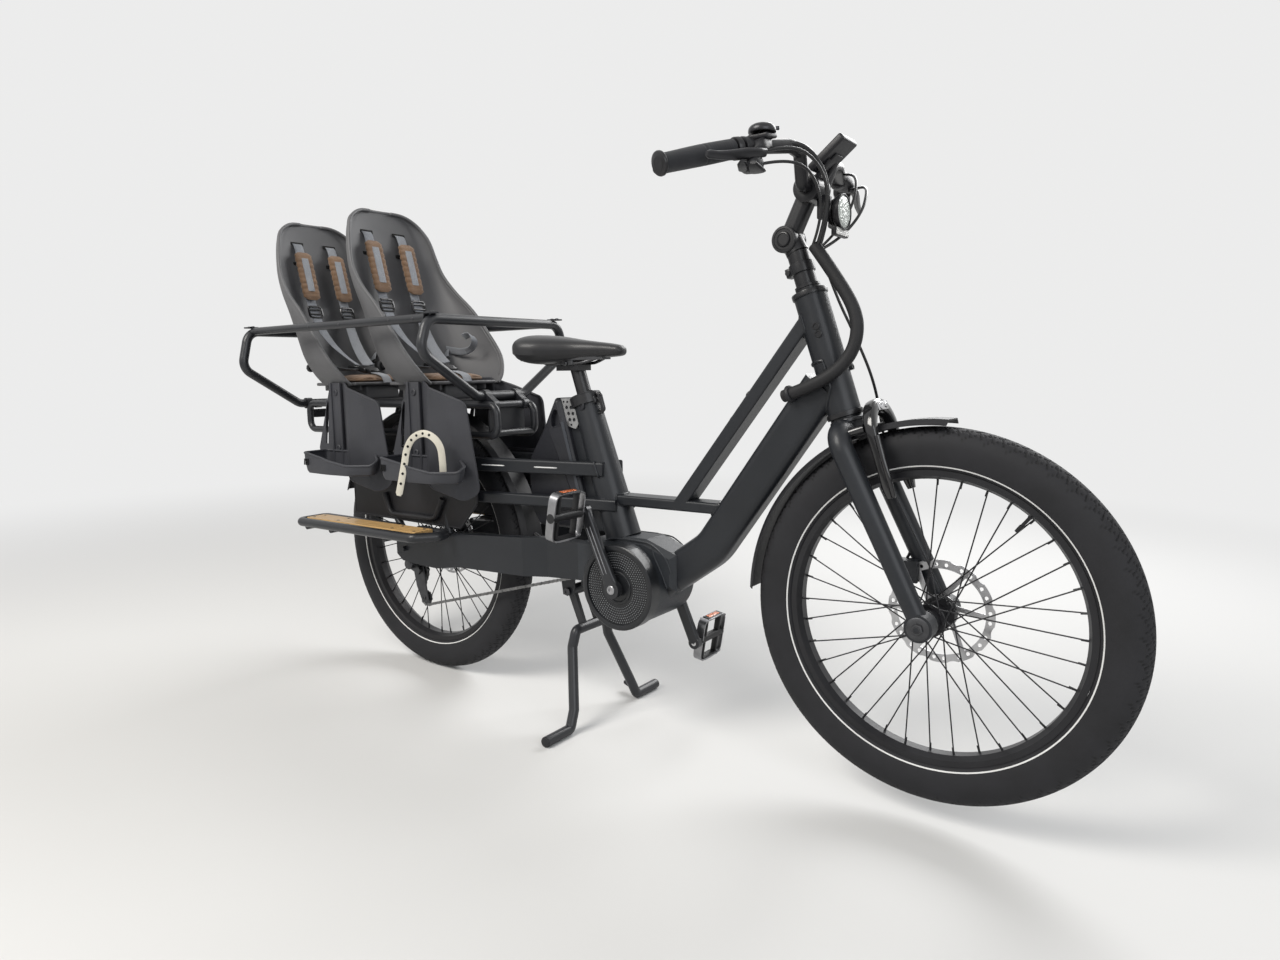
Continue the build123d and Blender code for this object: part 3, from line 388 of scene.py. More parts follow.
def catmull(points, steps, closed=False):
    """Smooth run of points through the given ones."""
    known, run = [Vector(point) for point in points], []
    count = len(known)
    for span in range(count if closed else count - 1):
        picks = [(span + k) % count if closed else min(max(span + k, 0), count - 1) for k in (-1, 0, 1, 2)]
        before, start, end, after = [known[pick] for pick in picks]
        for step in range(steps):
            t = step / steps
            pull = 2 * start + (end - before) * t
            pull += (2 * before - 5 * start + 4 * end - after) * t * t
            pull += (3 * start - before - 3 * end + after) * t * t * t
            run.append(pull / 2)
    return run if closed else run + [known[-1]]


def turned(profile, foot, out, sides=32):
    """Lathe-turned form from pairs of distance along the axis and radius."""
    start, along = Vector(foot), Vector(out).normalized()
    lean = along.orthogonal().normalized()
    side = along.cross(lean)
    return skin(
        [circle(start + along * reach, lean, side, max(radius, 0.01), sides) for reach, radius in profile]
    )


def around(axle, profile, turn):
    """Profile of pairs of sideways place and radius, at an angle round an axle."""
    return [(axle.x + radius * math.cos(turn), y, axle.z + radius * math.sin(turn)) for y, radius in profile]


# along the bike, up
top_seam = [(572, 384), (600, 396), (676, 396), (703, 388), (730, 366), (742, 340)]
front_seam = [(697, 386), (704, 366), (718, 340), (732, 308)]
casing_ribs = []
for seam, y, width in ((top_seam, -42.0, 1.6), (front_seam, -42.2, 1.4), (top_seam, 42.0, 1.6)):
    casing_ribs.append(tube_skin(catmull([(x, y, z) for x, z in seam], 8), width, 6))
for angle in range(22, 382, 45):
    foot = around(CRANK, [(78.8, 54)], math.radians(angle))[0]
    casing_ribs.append(
        turned([(0, 4.4), (1.6, 4.4), (2.2, 3.6), (2.2, 2.2), (0.8, 2.0), (0.8, 0.0)], foot, LEFT, 12)
    )
piece("casing_ribs", casing_ribs, casing_cast, "frame")
# distance across, radius
rim = [
    (-87.9, 76.2), (-89.07, 76.2), (-89.43, 77.4), (-89.97, 79.0), (-89.97, 82.5), (-89.34, 85.6),
    (-88.17, 87.0),
    (-87.72, 87.0),
]
well = [
    (-84.6, 34), (-86.4, 34), (-87.4, 33), (-87.4, 29), (-86.2, 27.6), (-84.0, 26.5), (-84.0, 13.5),
    (-84.6, 13.5)
]
hoops = []
for row, count in ((rim, 128), (well, 96)):
    hoops.append(skin([around(CRANK, row, turn) for turn in turns(count)], closed=True))
piece("cover_rim", hoops, cover_black, "frame")


def node_group(name, **sockets):
    """Empty geometry tree with named inputs."""
    tree = bpy.data.node_groups.new(name, "GeometryNodeTree")
    tree.interface.new_socket("Geometry", in_out="OUTPUT", socket_type="NodeSocketGeometry")
    for label, kind in sockets.items():
        tree.interface.new_socket(label.replace("_", " "), in_out="INPUT", socket_type="NodeSocket" + kind)
    return tree, tree.nodes.new("NodeGroupInput").outputs


def ended(tree, geometry, finish):
    """Make the copies real, give them their finish and pass them out of the tree."""
    real = wired(tree, "GeometryNodeRealizeInstances", {"Geometry": geometry})
    paint = wired(tree, "GeometryNodeSetMaterial", {"Geometry": real.outputs["Geometry"], "Material": finish})
    wired(tree, "NodeGroupOutput", {"Geometry": paint.outputs["Geometry"]})


def baked(holder):
    """Mesh of an object with its modifiers applied; the object goes."""
    bpy.context.view_layer.update()
    mesh = bpy.data.meshes.new_from_object(holder.evaluated_get(bpy.context.evaluated_depsgraph_get()))
    bpy.data.objects.remove(holder)
    return mesh


def grown(name, tree, values, finish, body, base=None):
    """Run a geometry tree once and finish the mesh that it makes."""
    holder = placed(name + "_source", base or bpy.data.meshes.new(name + "_source"))
    modifier = holder.modifiers.new("grow", "NODES")
    modifier.node_group = tree
    for item in tree.interface.items_tree:
        if item.item_type == "SOCKET" and item.in_out == "INPUT" and item.name in values:
            modifier[item.identifier] = values[item.name]
    mesh = baked(holder)
    mesh.name = name
    return finished(name, mesh, finish, body)


rivet_grey = surface("rivet_grey", (0.3, 0.31, 0.32), 0.42, metal=0.5, vary=0.2, bump=0.05)
studs, given = node_group(
    "ring_of_studs", Count="Int", Ring_Radius="Float", Stud_Radius="Float", Stud_Height="Float", Sides="Int",
    Centre="Vector",
)
ring = wired(studs, "GeometryNodeMeshCircle", {"Vertices": given["Count"], "Radius": given["Ring Radius"]})
taper = wired(studs, "ShaderNodeMath", {0: given["Stud Radius"], 1: 0.72}, operation="MULTIPLY")
stud = wired(studs, "GeometryNodeMeshCone", {
    "Vertices": given["Sides"], "Radius Bottom": given["Stud Radius"], "Radius Top": taper.outputs[0],
    "Depth": given["Stud Height"],
})
copies = {"Points": ring.outputs["Mesh"], "Instance": stud.outputs["Mesh"]}
spread = wired(studs, "GeometryNodeInstanceOnPoints", copies)
tipped = wired(studs, "GeometryNodeTransform", {
    "Geometry": spread.outputs["Instances"], "Translation": given["Centre"],
    "Rotation": (math.radians(90), 0, 0),
})
ended(studs, tipped.outputs["Geometry"], rivet_grey)
STUD_GAP = 5.2
for row in range(7):
    radius = 42.0 + 5.0 * row
    values = {"Stud Radius": 0.95, "Stud Height": 1.4, "Sides": 10, "Centre": (CRANK.x, -85.4, CRANK.z)}
    values |= {"Count": round(2 * math.pi * radius / STUD_GAP), "Ring Radius": radius}
    grown("cover_studs_%d" % row, studs, values, rivet_grey, "frame")

# Tyres
# Black rubber, moulded with fine slanted cuts across the tread and a broken groove down its
# middle. A thin pale reflecting band is bonded into each wall.
tyre_rubber = surface(
    "tyre_rubber", (0.0115, 0.0115, 0.0135), 0.7, vary=0.26, patch=16, bump=0.5, grain=1300.0
)
tree = tyre_rubber.node_tree
# The tread grooves are coloured near black by their cut depth: painted shade in the grooves.
groove_shade = wired(tree, "ShaderNodeAttribute", {}, attribute_name="cut").outputs["Fac"]
clean = tree.nodes["tint"].outputs["Color"]
groove_shade_mix = {"B": (0.0025, 0.0025, 0.003, 1.0), "Factor": groove_shade, "A": clean}
darker = wired(tree, "ShaderNodeMix", groove_shade_mix, data_type="RGBA")
tree.links.new(darker.outputs["Result"], tree.nodes["Principled BSDF"].inputs["Base Color"])
wall_band = surface("wall_band", (0.66, 0.66, 0.65), 0.5, vary=0.06, bump=0.08)
FRONT_AXLE, REAR_AXLE = Vector((WHEELBASE, 0, AXLE_HEIGHT)), Vector((0, 0, AXLE_HEIGHT))
# distance across, radius
half_tyre = [
    (19.4, 250.3), (22.2, 252.0), (24.4, 255.4), (25.6, 257.6), (26.3, 259.4), (28.2, 266.0), (29.7, 274.0),
    (30.7, 283.0), (30.8, 291.0), (29.6, 299.0), (27.2, 305.0), (25.2, 308.6), (22.6, 311.4), (20.6, 313.2),
    (18.2, 314.7), (16.0, 315.8), (13.6, 316.9), (11.2, 317.9), (8.8, 318.7), (6.6, 319.2), (5.4, 319.45),
    (4.2, 319.6), (2.1, 319.8), (0.0, 319.85),
]
tyre_hollow = [(14.0, 250.3), (22.0, 268.0), (22.5, 290.0), (16.0, 306.0)]
tyre_hollow += [(-wide, radius) for wide, radius in reversed(tyre_hollow)]
TREAD_BLOCKS = 56


def groove_depth(across, angle):
    """How deep the tread is cut at a place across the tyre, in millimetres."""
    wide = abs(across)
    turns_on = angle * TREAD_BLOCKS / (2 * math.pi) + (0.5 if across < 0 else 0.0)
    if wide > 27.5:
        return 0.0
    if wide < 3.0 and (turns_on * 2) % 1.0 < 0.14:
        return 1.4
    if 7.0 < wide < 23.0 and (turns_on + wide * 0.02 + 0.2) % 0.5 < 0.062:
        return 1.8
    return 2.0 if wide > 3.0 and (turns_on - wide * 0.078) % 1.0 < 0.1 else 0.0


for name, axle in (("front", FRONT_AXLE), ("rear", REAR_AXLE)):
    profile = [(-wide, radius) for wide, radius in half_tyre] + list(reversed(half_tyre[:-1]))
    rings = []
    for turn in turns(1120):
        cut = [
            (wide, radius - (groove_depth(wide, turn) if radius > 305.5 else 0.0)) for wide, radius in profile
        ]
        rings.append(around(axle, cut + tyre_hollow, turn))
    shape, body = skin(rings, closed=True), name + "_wheel"
    made = piece(name + "_tyre_rubber", shape, tyre_rubber, body, crease=24)
    made.data.materials.append(wall_band)
    home = LEVEL.inverted()
    for polygon in made.data.polygons:
        place = home @ polygon.center - axle
        if 255.4 < math.hypot(place.x, place.z) < 257.7 and 23.5 < abs(place.y) < 27:
            polygon.material_index = 1
    # Cut depth of the tread grooves, which the rubber uses as painted shade.
    cut = made.data.attributes.new("cut", "FLOAT", "POINT")
    for vert in made.data.vertices:
        place = home @ vert.co - axle
        depth = groove_depth(place.y, math.atan2(place.z, place.x) + 1e-6)
        cut.data[vert.index].value = min(depth / 2.0, 1.0) if math.hypot(place.x, place.z) > 300 else 0.0
    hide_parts(name + "_tyre")

# Wheels, brake discs and hubs
# Deep black rims laced with thirty-six crossed black spokes to black hubs. Each spoke ends
# in a nipple at the rim. The discs are stamped stainless steel, ground round the band.
rim_black = surface("rim_black", (0.016, 0.016, 0.018), 0.38, metal=0.2, vary=0.2, bump=0.15)
dress(rim_black, "front_wheel", "rear_wheel")
for name, axle in (("front", FRONT_AXLE), ("rear", REAR_AXLE)):
    made = surface(name + "_disc_steel", (0.5, 0.5, 0.51), 0.3, metal=1.0, vary=0.12, patch=20, bump=0.25)
    tree, centre = made.node_tree, LEVEL @ axle
    from_axle = {"Vector": tree.nodes["place"].outputs["Object"], "Location": (-centre.x, 0.0, -centre.z)}
    shift = wired(tree, "ShaderNodeMapping", from_axle).outputs[0]
    ground = {"Vector": shift, "Scale": 420.0, "Distortion": 1.5, "Detail": 2.0}
    marks = wired(tree, "ShaderNodeTexWave", ground, wave_type="RINGS", rings_direction="Y")
    tree.links.new(marks.outputs["Fac"], tree.nodes["relief"].inputs["Height"])
    dress(made, name + "_rotor")
bright_steel = surface("bright_steel", (0.55, 0.55, 0.56), 0.24, metal=1.0, vary=0.12, patch=30, bump=0.06)
dark_steel = surface("dark_steel", (0.075, 0.076, 0.08), 0.4, metal=0.9, vary=0.25, patch=26, bump=0.2)
for name, axle, flanges, ends, disc_y in (
    ("front", FRONT_AXLE, (-27, 27), (-48, 48), 38.0), ("rear", REAR_AXLE, (-24, 30), (-68, 68), 44.0),
):
    body, small, trim, carrier = name + "_wheel", [], [], []
    for side, flange, phase in zip((-1, 1), flanges, (0.0, 10.0)):
        for index in range(18):
            lead = 1 if index % 2 == 0 else -1
            turn = math.radians(index * 20 + phase)
            hub_turn = turn + lead * math.radians(62)
            outward = Vector((math.cos(turn), 0, math.sin(turn)))
            start = axle + outward * 222.5 + LEFT * (side * 4 + lead)
            small.append(turned([(0, 1.7), (11.6, 2.1), (11.8, 3.2), (13.0, 3.2)], start, outward, 8))
            head = around(axle, [(flange + lead * 2.2, 24)], hub_turn)[0]
            small.append(turned([(0, 2.6), (0.9, 2.3), (1.4, 1.2)], head, LEFT * lead, 8))
    piece(name + "_nipples", small, rim_black, body)
    for side, end in zip((-1, 1), ends):
        inner = axle + LEFT * (end - side * 5.5)
        trim.append(
            turned([(0, 15.4), (0.4, 17.2), (2.4, 17.6), (3.2, 16.6), (3.4, 15.3)], inner, LEFT * side, 32)
        )
    out = Vector((math.cos(0.9), 0, math.sin(0.9)))
    valve = [(0, 3.4), (13, 3.8), (14, 2.9), (28, 2.9), (33.5, 4.6), (36, 4.6)]
    piece(
        name + "_hub_trim", trim + [turned(valve, axle + out * 200.0, out, 12)], rim_black, body,
    )
    for index in range(6):
        foot = around(axle, [(disc_y + 1.9, 22)], math.radians(60 * index + 9))[0]
        carrier.append(
            turned([(0, 3.6), (2.0, 3.4), (2.6, 2.6), (2.6, 1.6), (1.2, 1.5), (1.2, 0)], foot, LEFT, 12)
        )
    plate = [(0, 27.5), (1.4, 27.5), (2.0, 26.6), (2.0, 16.4), (0, 16.2)]
    carrier.append(turned(plate, axle + LEFT * (disc_y + 1.8), LEFT, 48))
    piece(name + "_disc_carrier", carrier, dark_steel, body)

# Chain, sprockets, derailleur and cranks
# Roller chain on the lower and upper runs, a stack of toothed sprockets, a short dark cage
# with two jockey wheels, a toothed ring, and forged cranks with bright lines of painted highlight.
dress(dark_steel, "cassette", "derailleur")
crank_black = surface("crank_black", (0.026, 0.027, 0.03), 0.36, metal=0.3, vary=0.15, bump=0.1, coat=0.2)
dress(crank_black, "cranks")
CHAIN_Y, ROLLER, LINK_PITCH = -50.0, 3.9, 12.7
# along the bike, up, radius, way round
chain_wheels = [
    (0, 320, 36.0, -1), (641, 306, 58.0, -1), (544, 298, 12.0, 1), (14, 189, 15.0, -1), (2, 256, 15.0, 1)
]
touches = []
for (x, z, radius, way), (far_x, far_z, far_radius, far_way) in zip(
    chain_wheels, chain_wheels[1:] + chain_wheels[:1]
):
    near_r, far_r = way * (radius + ROLLER), far_way * (far_radius + ROLLER)
    gap_x, gap_z = far_x - x, far_z - z
    angle = math.atan2(gap_z, gap_x) - math.asin((far_r - near_r) / math.hypot(gap_x, gap_z))
    away = Vector((math.sin(angle), 0, -math.cos(angle)))
    touches += [Vector((x, CHAIN_Y, z)) + away * near_r, Vector((far_x, CHAIN_Y, far_z)) + away * far_r]
chain_run = []
for index, (x, z, radius, way) in enumerate(chain_wheels):
    arrive, leave, after = touches[2 * index - 1], touches[2 * index], touches[2 * index + 1]
    first = math.atan2(arrive.z - z, arrive.x - x)
    span = (math.atan2(leave.z - z, leave.x - x) - first) % (2 * math.pi) - (2 * math.pi if way < 0 else 0)
    steps = max(int(abs(span) * radius / 3), 4)
    for step in range(steps):
        chain_run += around(Vector((x, 0, z)), [(CHAIN_Y, radius + ROLLER)], first + span * step / steps)
    straight = max(int((after - leave).length / 6), 1)
    chain_run.extend(tuple(leave.lerp(after, step / straight)) for step in range(straight))
chain_length = sum(math.dist(chain_run[k], chain_run[k - 1]) for k in range(len(chain_run)))


def chain_link(name, offset, thick=0.9, half=LINK_PITCH / 2):
    """Pair of waisted side plates with their roller and pin, kept as an object for the tree to copy."""
    outline = []
    for sign in (1, -1):
        for step in range(14):
            angle = math.radians(-90 + 180 * step / 13)
            outline.append((sign * (half + 3.4 * math.cos(angle)), sign * 3.4 * math.sin(angle)))
        outline.append((0.0, sign * 2.5))
    parts = []
    for sign in (-1, 1):
        parts.append(skin([[(x, sign * y, z) for x, z in outline] for y in (offset, offset + thick)]))
    parts.append(turned([(0, 2.6), (2 * offset, 2.6)], (half, -offset, 0), LEFT, 10))
    parts.append(turned([(0, 1.5), (2 * offset + 3.0, 1.5)], (half, -offset - 1.5, 0), LEFT, 8))
    mesh = bpy.data.meshes.new(name)
    points, faces = joined(*parts)
    mesh.from_pydata(points, [], faces)
    return placed(name, mesh)


chain_steel = surface("chain_steel", (0.2, 0.2, 0.2), 0.38, metal=0.95, vary=0.3, patch=40, bump=0.2)
links = {"Outer": chain_link("outer_link", 2.5), "Inner": chain_link("inner_link", 1.5)}
tree, given = node_group(
    "chain_of_links", Geometry="Geometry", Link_Count="Int", Outer="Object", Inner="Object"
)
curve = wired(tree, "GeometryNodeMeshToCurve", {"Mesh": given["Geometry"]}).outputs["Curve"]
even_run = wired(tree, "GeometryNodeResampleCurve", {"Curve": curve, "Count": given["Link Count"]}).outputs["Curve"]
tangent = wired(tree, "GeometryNodeInputTangent", {}).outputs[0]
align = wired(tree, "FunctionNodeAlignRotationToVector", {"Vector": tangent}, axis="X", pivot_axis="Y").outputs[0]
order = wired(tree, "GeometryNodeInputIndex", {}).outputs[0]
odd = wired(tree, "ShaderNodeMath", {0: order, 1: 2.0}, operation="MODULO").outputs[0]
even = wired(tree, "FunctionNodeBooleanMath", {0: odd}, operation="NOT").outputs[0]
both = wired(tree, "GeometryNodeJoinGeometry", {})
for label, choice in (("Outer", odd), ("Inner", even)):
    link = wired(tree, "GeometryNodeObjectInfo", {"Object": given[label]}).outputs["Geometry"]
    lay = wired(tree, "GeometryNodeInstanceOnPoints", {
        "Points": even_run, "Selection": choice, "Instance": link, "Rotation": align,
    })
    tree.links.new(lay.outputs["Instances"], both.inputs["Geometry"])
ended(tree, both.outputs["Geometry"], chain_steel)
run_mesh = bpy.data.meshes.new("chain_run")
run_mesh.from_pydata(chain_run, [(k, (k + 1) % len(chain_run)) for k in range(len(chain_run))], [])
values = links | {"Link Count": 2 * round(chain_length / (2 * LINK_PITCH))}
chain_links = grown("chain_links", tree, values, chain_steel, "frame", base=run_mesh)
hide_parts("chain")
for link in links.values():
    bpy.data.objects.remove(link)


def toothed(axle, y_from, y_to, tip, root, teeth, bore):
    """Ring of teeth round a wheel on a sideways axle."""
    rings = []
    for index, turn in enumerate(turns(teeth * 4)):
        radius = (root, root, tip, tip)[index % 4]
        rings.append(around(axle, [(y_from, radius), (y_to, radius), (y_to, bore), (y_from, bore)], turn))
    return skin(rings, closed=True)


stack = []
for index, radius in enumerate((46, 42, 38, 34, 30, 26, 23)):
    y = -32 - index * 4.4
    radius, tall = (radius, 2.4) if abs(y - CHAIN_Y) > 4 else (36, 1.2)
    teeth = round(2 * math.pi * radius / LINK_PITCH)
    stack.append(toothed(REAR_AXLE, y - 2.0, y - 0.2, radius + tall, radius - 1.0, teeth, radius - 9))
piece("sprocket_teeth", stack, dark_steel, "rear_wheel", crease=25)
piece(
    "ring_teeth", toothed(CRANK, -51.2, -48.8, 60.2, 56.5, 28, 50), dark_steel, "cranks",
    crease=25
)
jockeys = []
for axle in (Vector((14, 0, 189)), Vector((2, 0, 256))):
    jockeys.append(toothed(axle, -52.6, -47.4, 17.2, 13.4, 11, 8))
    bolt = [(0, 5.2), (1.4, 5.2), (2.0, 4.4), (2.0, 2.4), (1.0, 2.2), (1.0, 0)]
    jockeys.append(turned(bolt, axle - LEFT * 60.1, -LEFT, 12))
knuckle = [(0, 12.6), (4.0, 13.4), (9, 13.4), (12, 11.0), (12.6, 7), (12.6, 0)]
jockeys.append(turned(knuckle, (-12, -73.6, 276), -LEFT, 28))
link_arm = [(-26, 286), (-8, 292), (16, 262), (10, 250), (-22, 262)]
jockeys.append(skin([[(x, y, z) for x, z in link_arm] for y in (-65.5, -71.5)]))
piece("derailleur_trim", jockeys, dark_steel, "frame", crease=30)


def squarish(count, power, second=None):
    """Pairs of cosine and sine once round, drawn out towards the corners of a square."""
    pairs = []
    for turn in turns(count):
        c, s = math.cos(turn), math.sin(turn)
        pairs.append((math.copysign(abs(c) ** power, c), math.copysign(abs(s) ** (second or power), s)))
    return pairs


CRANK_LENGTH, CRANK_TURN = 167.0, math.radians(113.5)
crank_reach = Vector((math.cos(CRANK_TURN), 0, math.sin(CRANK_TURN))) * CRANK_LENGTH
forged, ground = [], []
for side in (-1, 1):
    root = CRANK + LEFT * side * 100
    arm = -crank_reach * side
    wide, rings = LEFT.cross(arm.normalized()), []
    for share, half_width, half_thick in (
        (-0.03, 13.5, 6.6), (0.05, 16.5, 7.6), (0.18, 14.4, 7.7), (0.5, 12.8, 7.7), (0.84, 12.4, 7.6),
        (0.97, 13.6, 7.4),
        (1.05, 10.0, 6.2),
    ):
        centre = root + arm * share - LEFT * side * 0.2
        rings.append([centre + wide * half_width * a + LEFT * half_thick * b for a, b in squarish(20, 0.62)])
    forged.append(skin(rings))
    # Two thin bright lines along each arm's outer face are a painted highlight; the crank bolts added below are real
    # bright metal.
    for edge in (4.2, -4.2):
        groove = [
            root + arm * share + LEFT * side * 7.6 + wide * edge for share in (0.2, 0.35, 0.5, 0.65, 0.8)
        ]
        ground.append(tube_skin(groove, [0.6, 1.1, 1.1, 1.1, 0.6], 8))
    bolt = [(0, 9.4), (1.8, 9.2), (2.6, 8.2), (2.6, 4.4), (0.6, 4.2), (0.6, 0)]
    ground.append(turned(bolt, CRANK + LEFT * side * 106.5, LEFT * side, 24))
crank_bright = surface("crank_bright", (0.3, 0.3, 0.31), 0.34, metal=0.9, vary=0.2, patch=25, bump=0.1)
piece("crank_forgings", forged, crank_black, "cranks", crease=50)
# Painted highlight lines on the crank arms, together with the crank bolts.
piece("crank_edges", ground, crank_bright, "cranks")

# Fork, mudguards and ring lock
# Box-shouldered fork in the frame's coat, with a race ring under the head tube and bolted
# axle ends. Thin black mudguards, and a glossy ring lock bolted in front of the crown.
guard_plastic = surface("guard_plastic", (0.013, 0.013, 0.015), 0.5, vary=0.2, bump=0.3, grain=1400.0)
dress(guard_plastic, "front_mudguard", "rear_mudguard")
fork_trim = [turned([(0, 27.4), (1.0, 29.2), (5, 29.6), (7, 28.6), (7.6, 27.2)], steer(338, 0), steer_up, 48)]
for side in (-1, 1):
    nut = FRONT_AXLE + LEFT * side * 81.6
    for profile, foot, sides in (
        ([(0, 19.5), (1.4, 19.0), (2.2, 17.4), (2.2, 12.0)], nut, 32),
        ([(0, 9.6), (5.4, 9.6), (6.4, 8.6), (6.4, 4.2), (4.0, 4.0), (4.0, 0)], nut, 6),
        ([(0, 4.6), (4.0, 4.6), (5.2, 3.6), (5.2, 2.0), (3.4, 1.8), (3.4, 0)], steer(300, 18, side * 62), 12),
    ):
        fork_trim.append(turned(profile, foot, LEFT * side, sides))
piece("fork_trim", fork_trim, dark_steel, "steering", crease=30)

gloss_black = surface("gloss_black", (0.011, 0.011, 0.012), 0.15, vary=0.2, patch=20, bump=0.04, coat=0.5)
# distance up the steering axis, sideways
lock_path = [(196, -54), (215, -53.5), (245, -51.5), (275, -51), (300, -51)]
lock_path += [
    (302 + 51 * math.sin(math.radians(a)), -51 * math.cos(math.radians(a))) for a in range(12, 180, 12)
]
lock_path += [(300, 51), (275, 51), (245, 51.5), (215, 53.5), (200, 54)]
lock_path = [Vector(point) for point in lock_path]
rings = []
for index, (along, side) in enumerate(lock_path):
    run = heading(lock_path, index)
    crown = max(0.0, (along - 300) / 53)
    shrink = 0.7 if index in (0, len(lock_path) - 1) else 1.0
    half, thick = (8.5 + 2.2 * crown) * shrink, (9.0 + 3.0 * crown) * shrink
    pairs = squarish(20, 0.55)
    rings.append([steer(along - run.y * a * half, 56 + b * thick, side + run.x * a * half) for a, b in pairs])
lock_parts = [skin(rings)]
for side in (-52, 52):
    lock_parts.append(
        turned([(0, 8.5), (2, 7.4), (38, 7.4)], steer(318, 8, side), steer(0, 1) - steer(0, 0), 20)
    )
ring_lock = piece("ring_lock_body", lock_parts, gloss_black, "steering", crease=50)
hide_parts("ring_lock")


def slab(size, place, turn=None, bevel=1.0, segments=2):
    """Block with rounded edges."""
    made = bmesh.new()
    bmesh.ops.create_cube(made, size=1.0)
    bmesh.ops.scale(made, vec=Vector(size), verts=made.verts)
    bmesh.ops.bevel(made, geom=made.edges[:], offset=bevel, segments=segments, affect="EDGES", profile=0.5)
    made.verts.index_update()
    matrix = Matrix.Translation(place) @ (turn or Matrix())
    points = [tuple(matrix @ vert.co) for vert in made.verts]
    faces = [tuple(vert.index for vert in face.verts) for face in made.faces]
    made.free()
    return points, faces


steer_ahead = steer(0, 1) - steer(0, 0)
lock_bright = [
    slab((2.4, 46, 15), steer(349, 68.0), spun(-18), 1.0),
    turned([(0, 5.2), (1.6, 5.0), (2.4, 3.8), (2.4, 2.0), (1.2, 1.8), (1.2, 0)], steer(349, 68.8, 12), steer_ahead, 16),
    turned([(0, 7.0), (1.4, 7.0), (2.0, 6.2), (2.0, 3.0), (0.8, 2.4), (0.8, 0)], steer(349, 68.8, -12), steer_ahead, 20),
]
piece("ring_lock_plate", lock_bright, bright_steel, "steering")
latch = catmull([steer(300, 66, -60), steer(262, 67, -66), steer(222, 66, -64), steer(196, 62, -57)], 8)
latch = tube_skin(latch, [5.2] * 8 + [4.8] * 8 + [4.2] * 8 + [3.0], 14)
piece("ring_lock_lever", latch, gloss_black, "steering")

# Head tube and stem trim
# Machined cap rings, cable ports and bolts of the head tube, in black paint, and the folding
# stem's round pivot, clamp ends and bolt.
black_paint = surface("black_paint", (0.011, 0.011, 0.0125), 0.36, vary=0.16, bump=0.15, coat=0.1)
dress(black_paint, "stem", "handlebar")
# Near-black finish for plates and discs that paint the shade of slots and holes that are not cut.
painted_hole_shade = surface("painted_hole_shade", (0.006, 0.006, 0.006), 0.85, vary=0.1)
CLAMP = steer(740.6, 57.1)


def at_clamp(ahead, side, up):
    """Point given from the bar clamp: level ahead of it, sideways and up."""
    return CLAMP + Vector((ahead, side, up))


head_trim = []
for along, profile, sides in (
    (348.8, [(0, 29.2), (0.8, 31.6), (4, 31.8), (8.4, 31.6), (9.4, 29.8)], 64),
    (569.2, [(0, 29.8), (0.8, 31.6), (7.6, 31.8), (8.6, 31.4), (9.2, 28)], 64),
    (579.2, [(0, 21.2), (0.6, 22.2), (4.6, 22.2), (5.2, 21.2), (5.6, 22.2), (10.2, 22.2), (10.8, 21.2)], 48),
):
    head_trim.append(turned(profile, steer(along, 0), steer_up, sides))
for along in (498, 512):
    port = [(0, 7.0), (1.2, 7.0), (2.0, 6.0), (2.0, 4.2), (0.5, 4.0), (0.5, 0)]
    head_trim.append(turned(port, steer(along, 6, -28.2), -LEFT, 24))
for x, z in ((894.4, 691.9), (859.4, 644.9)):
    bolt = [(0, 6.6), (1.8, 6.4), (2.6, 5.2), (2.6, 2.8), (1.2, 2.6), (1.2, 0)]
    head_trim.append(turned(bolt, (x, 0, z), (-0.79, 0, 0.613), 16))
piece("head_trim", head_trim, black_paint, "frame")
stem_trim = []
hinge_cap = [
    (0, 23.4), (1.6, 23.2), (3.2, 21.6), (3.4, 18.4), (2.2, 17.4), (2.2, 13.6), (3.8, 12.6), (5.4, 12.0),
    (5.8, 10.6),
    (4.6, 9.6), (3.0, 9.0), (3.0, 0),
]
for side in (-1, 1):
    stem_trim.append(turned(hinge_cap, at_clamp(-43, side * 19.8, -81), LEFT * side, 48))
    clamp_end = [(0, 24.2), (1.2, 23.8), (2.0, 22.4), (2.0, 12.6), (1.0, 12.2)]
    stem_trim.append(turned(clamp_end, at_clamp(0, side * 23.8, 0), LEFT * side, 40))
stem_trim += [
    turned([(0, 20.4), (0.8, 22.0), (9, 22.4), (18, 22.0), (18.8, 20.4)], steer(612, 0), steer_up, 48),
    slab((12, 20, 17), steer(621, -23), spun(-18), 2.0),
    turned([(0, 4.4), (24, 4.4), (24.8, 3.4), (24.8, 0)], steer(621, -24, -12.4), LEFT, 16),
]
piece("stem_trim", stem_trim, black_paint, "steering", crease=32)

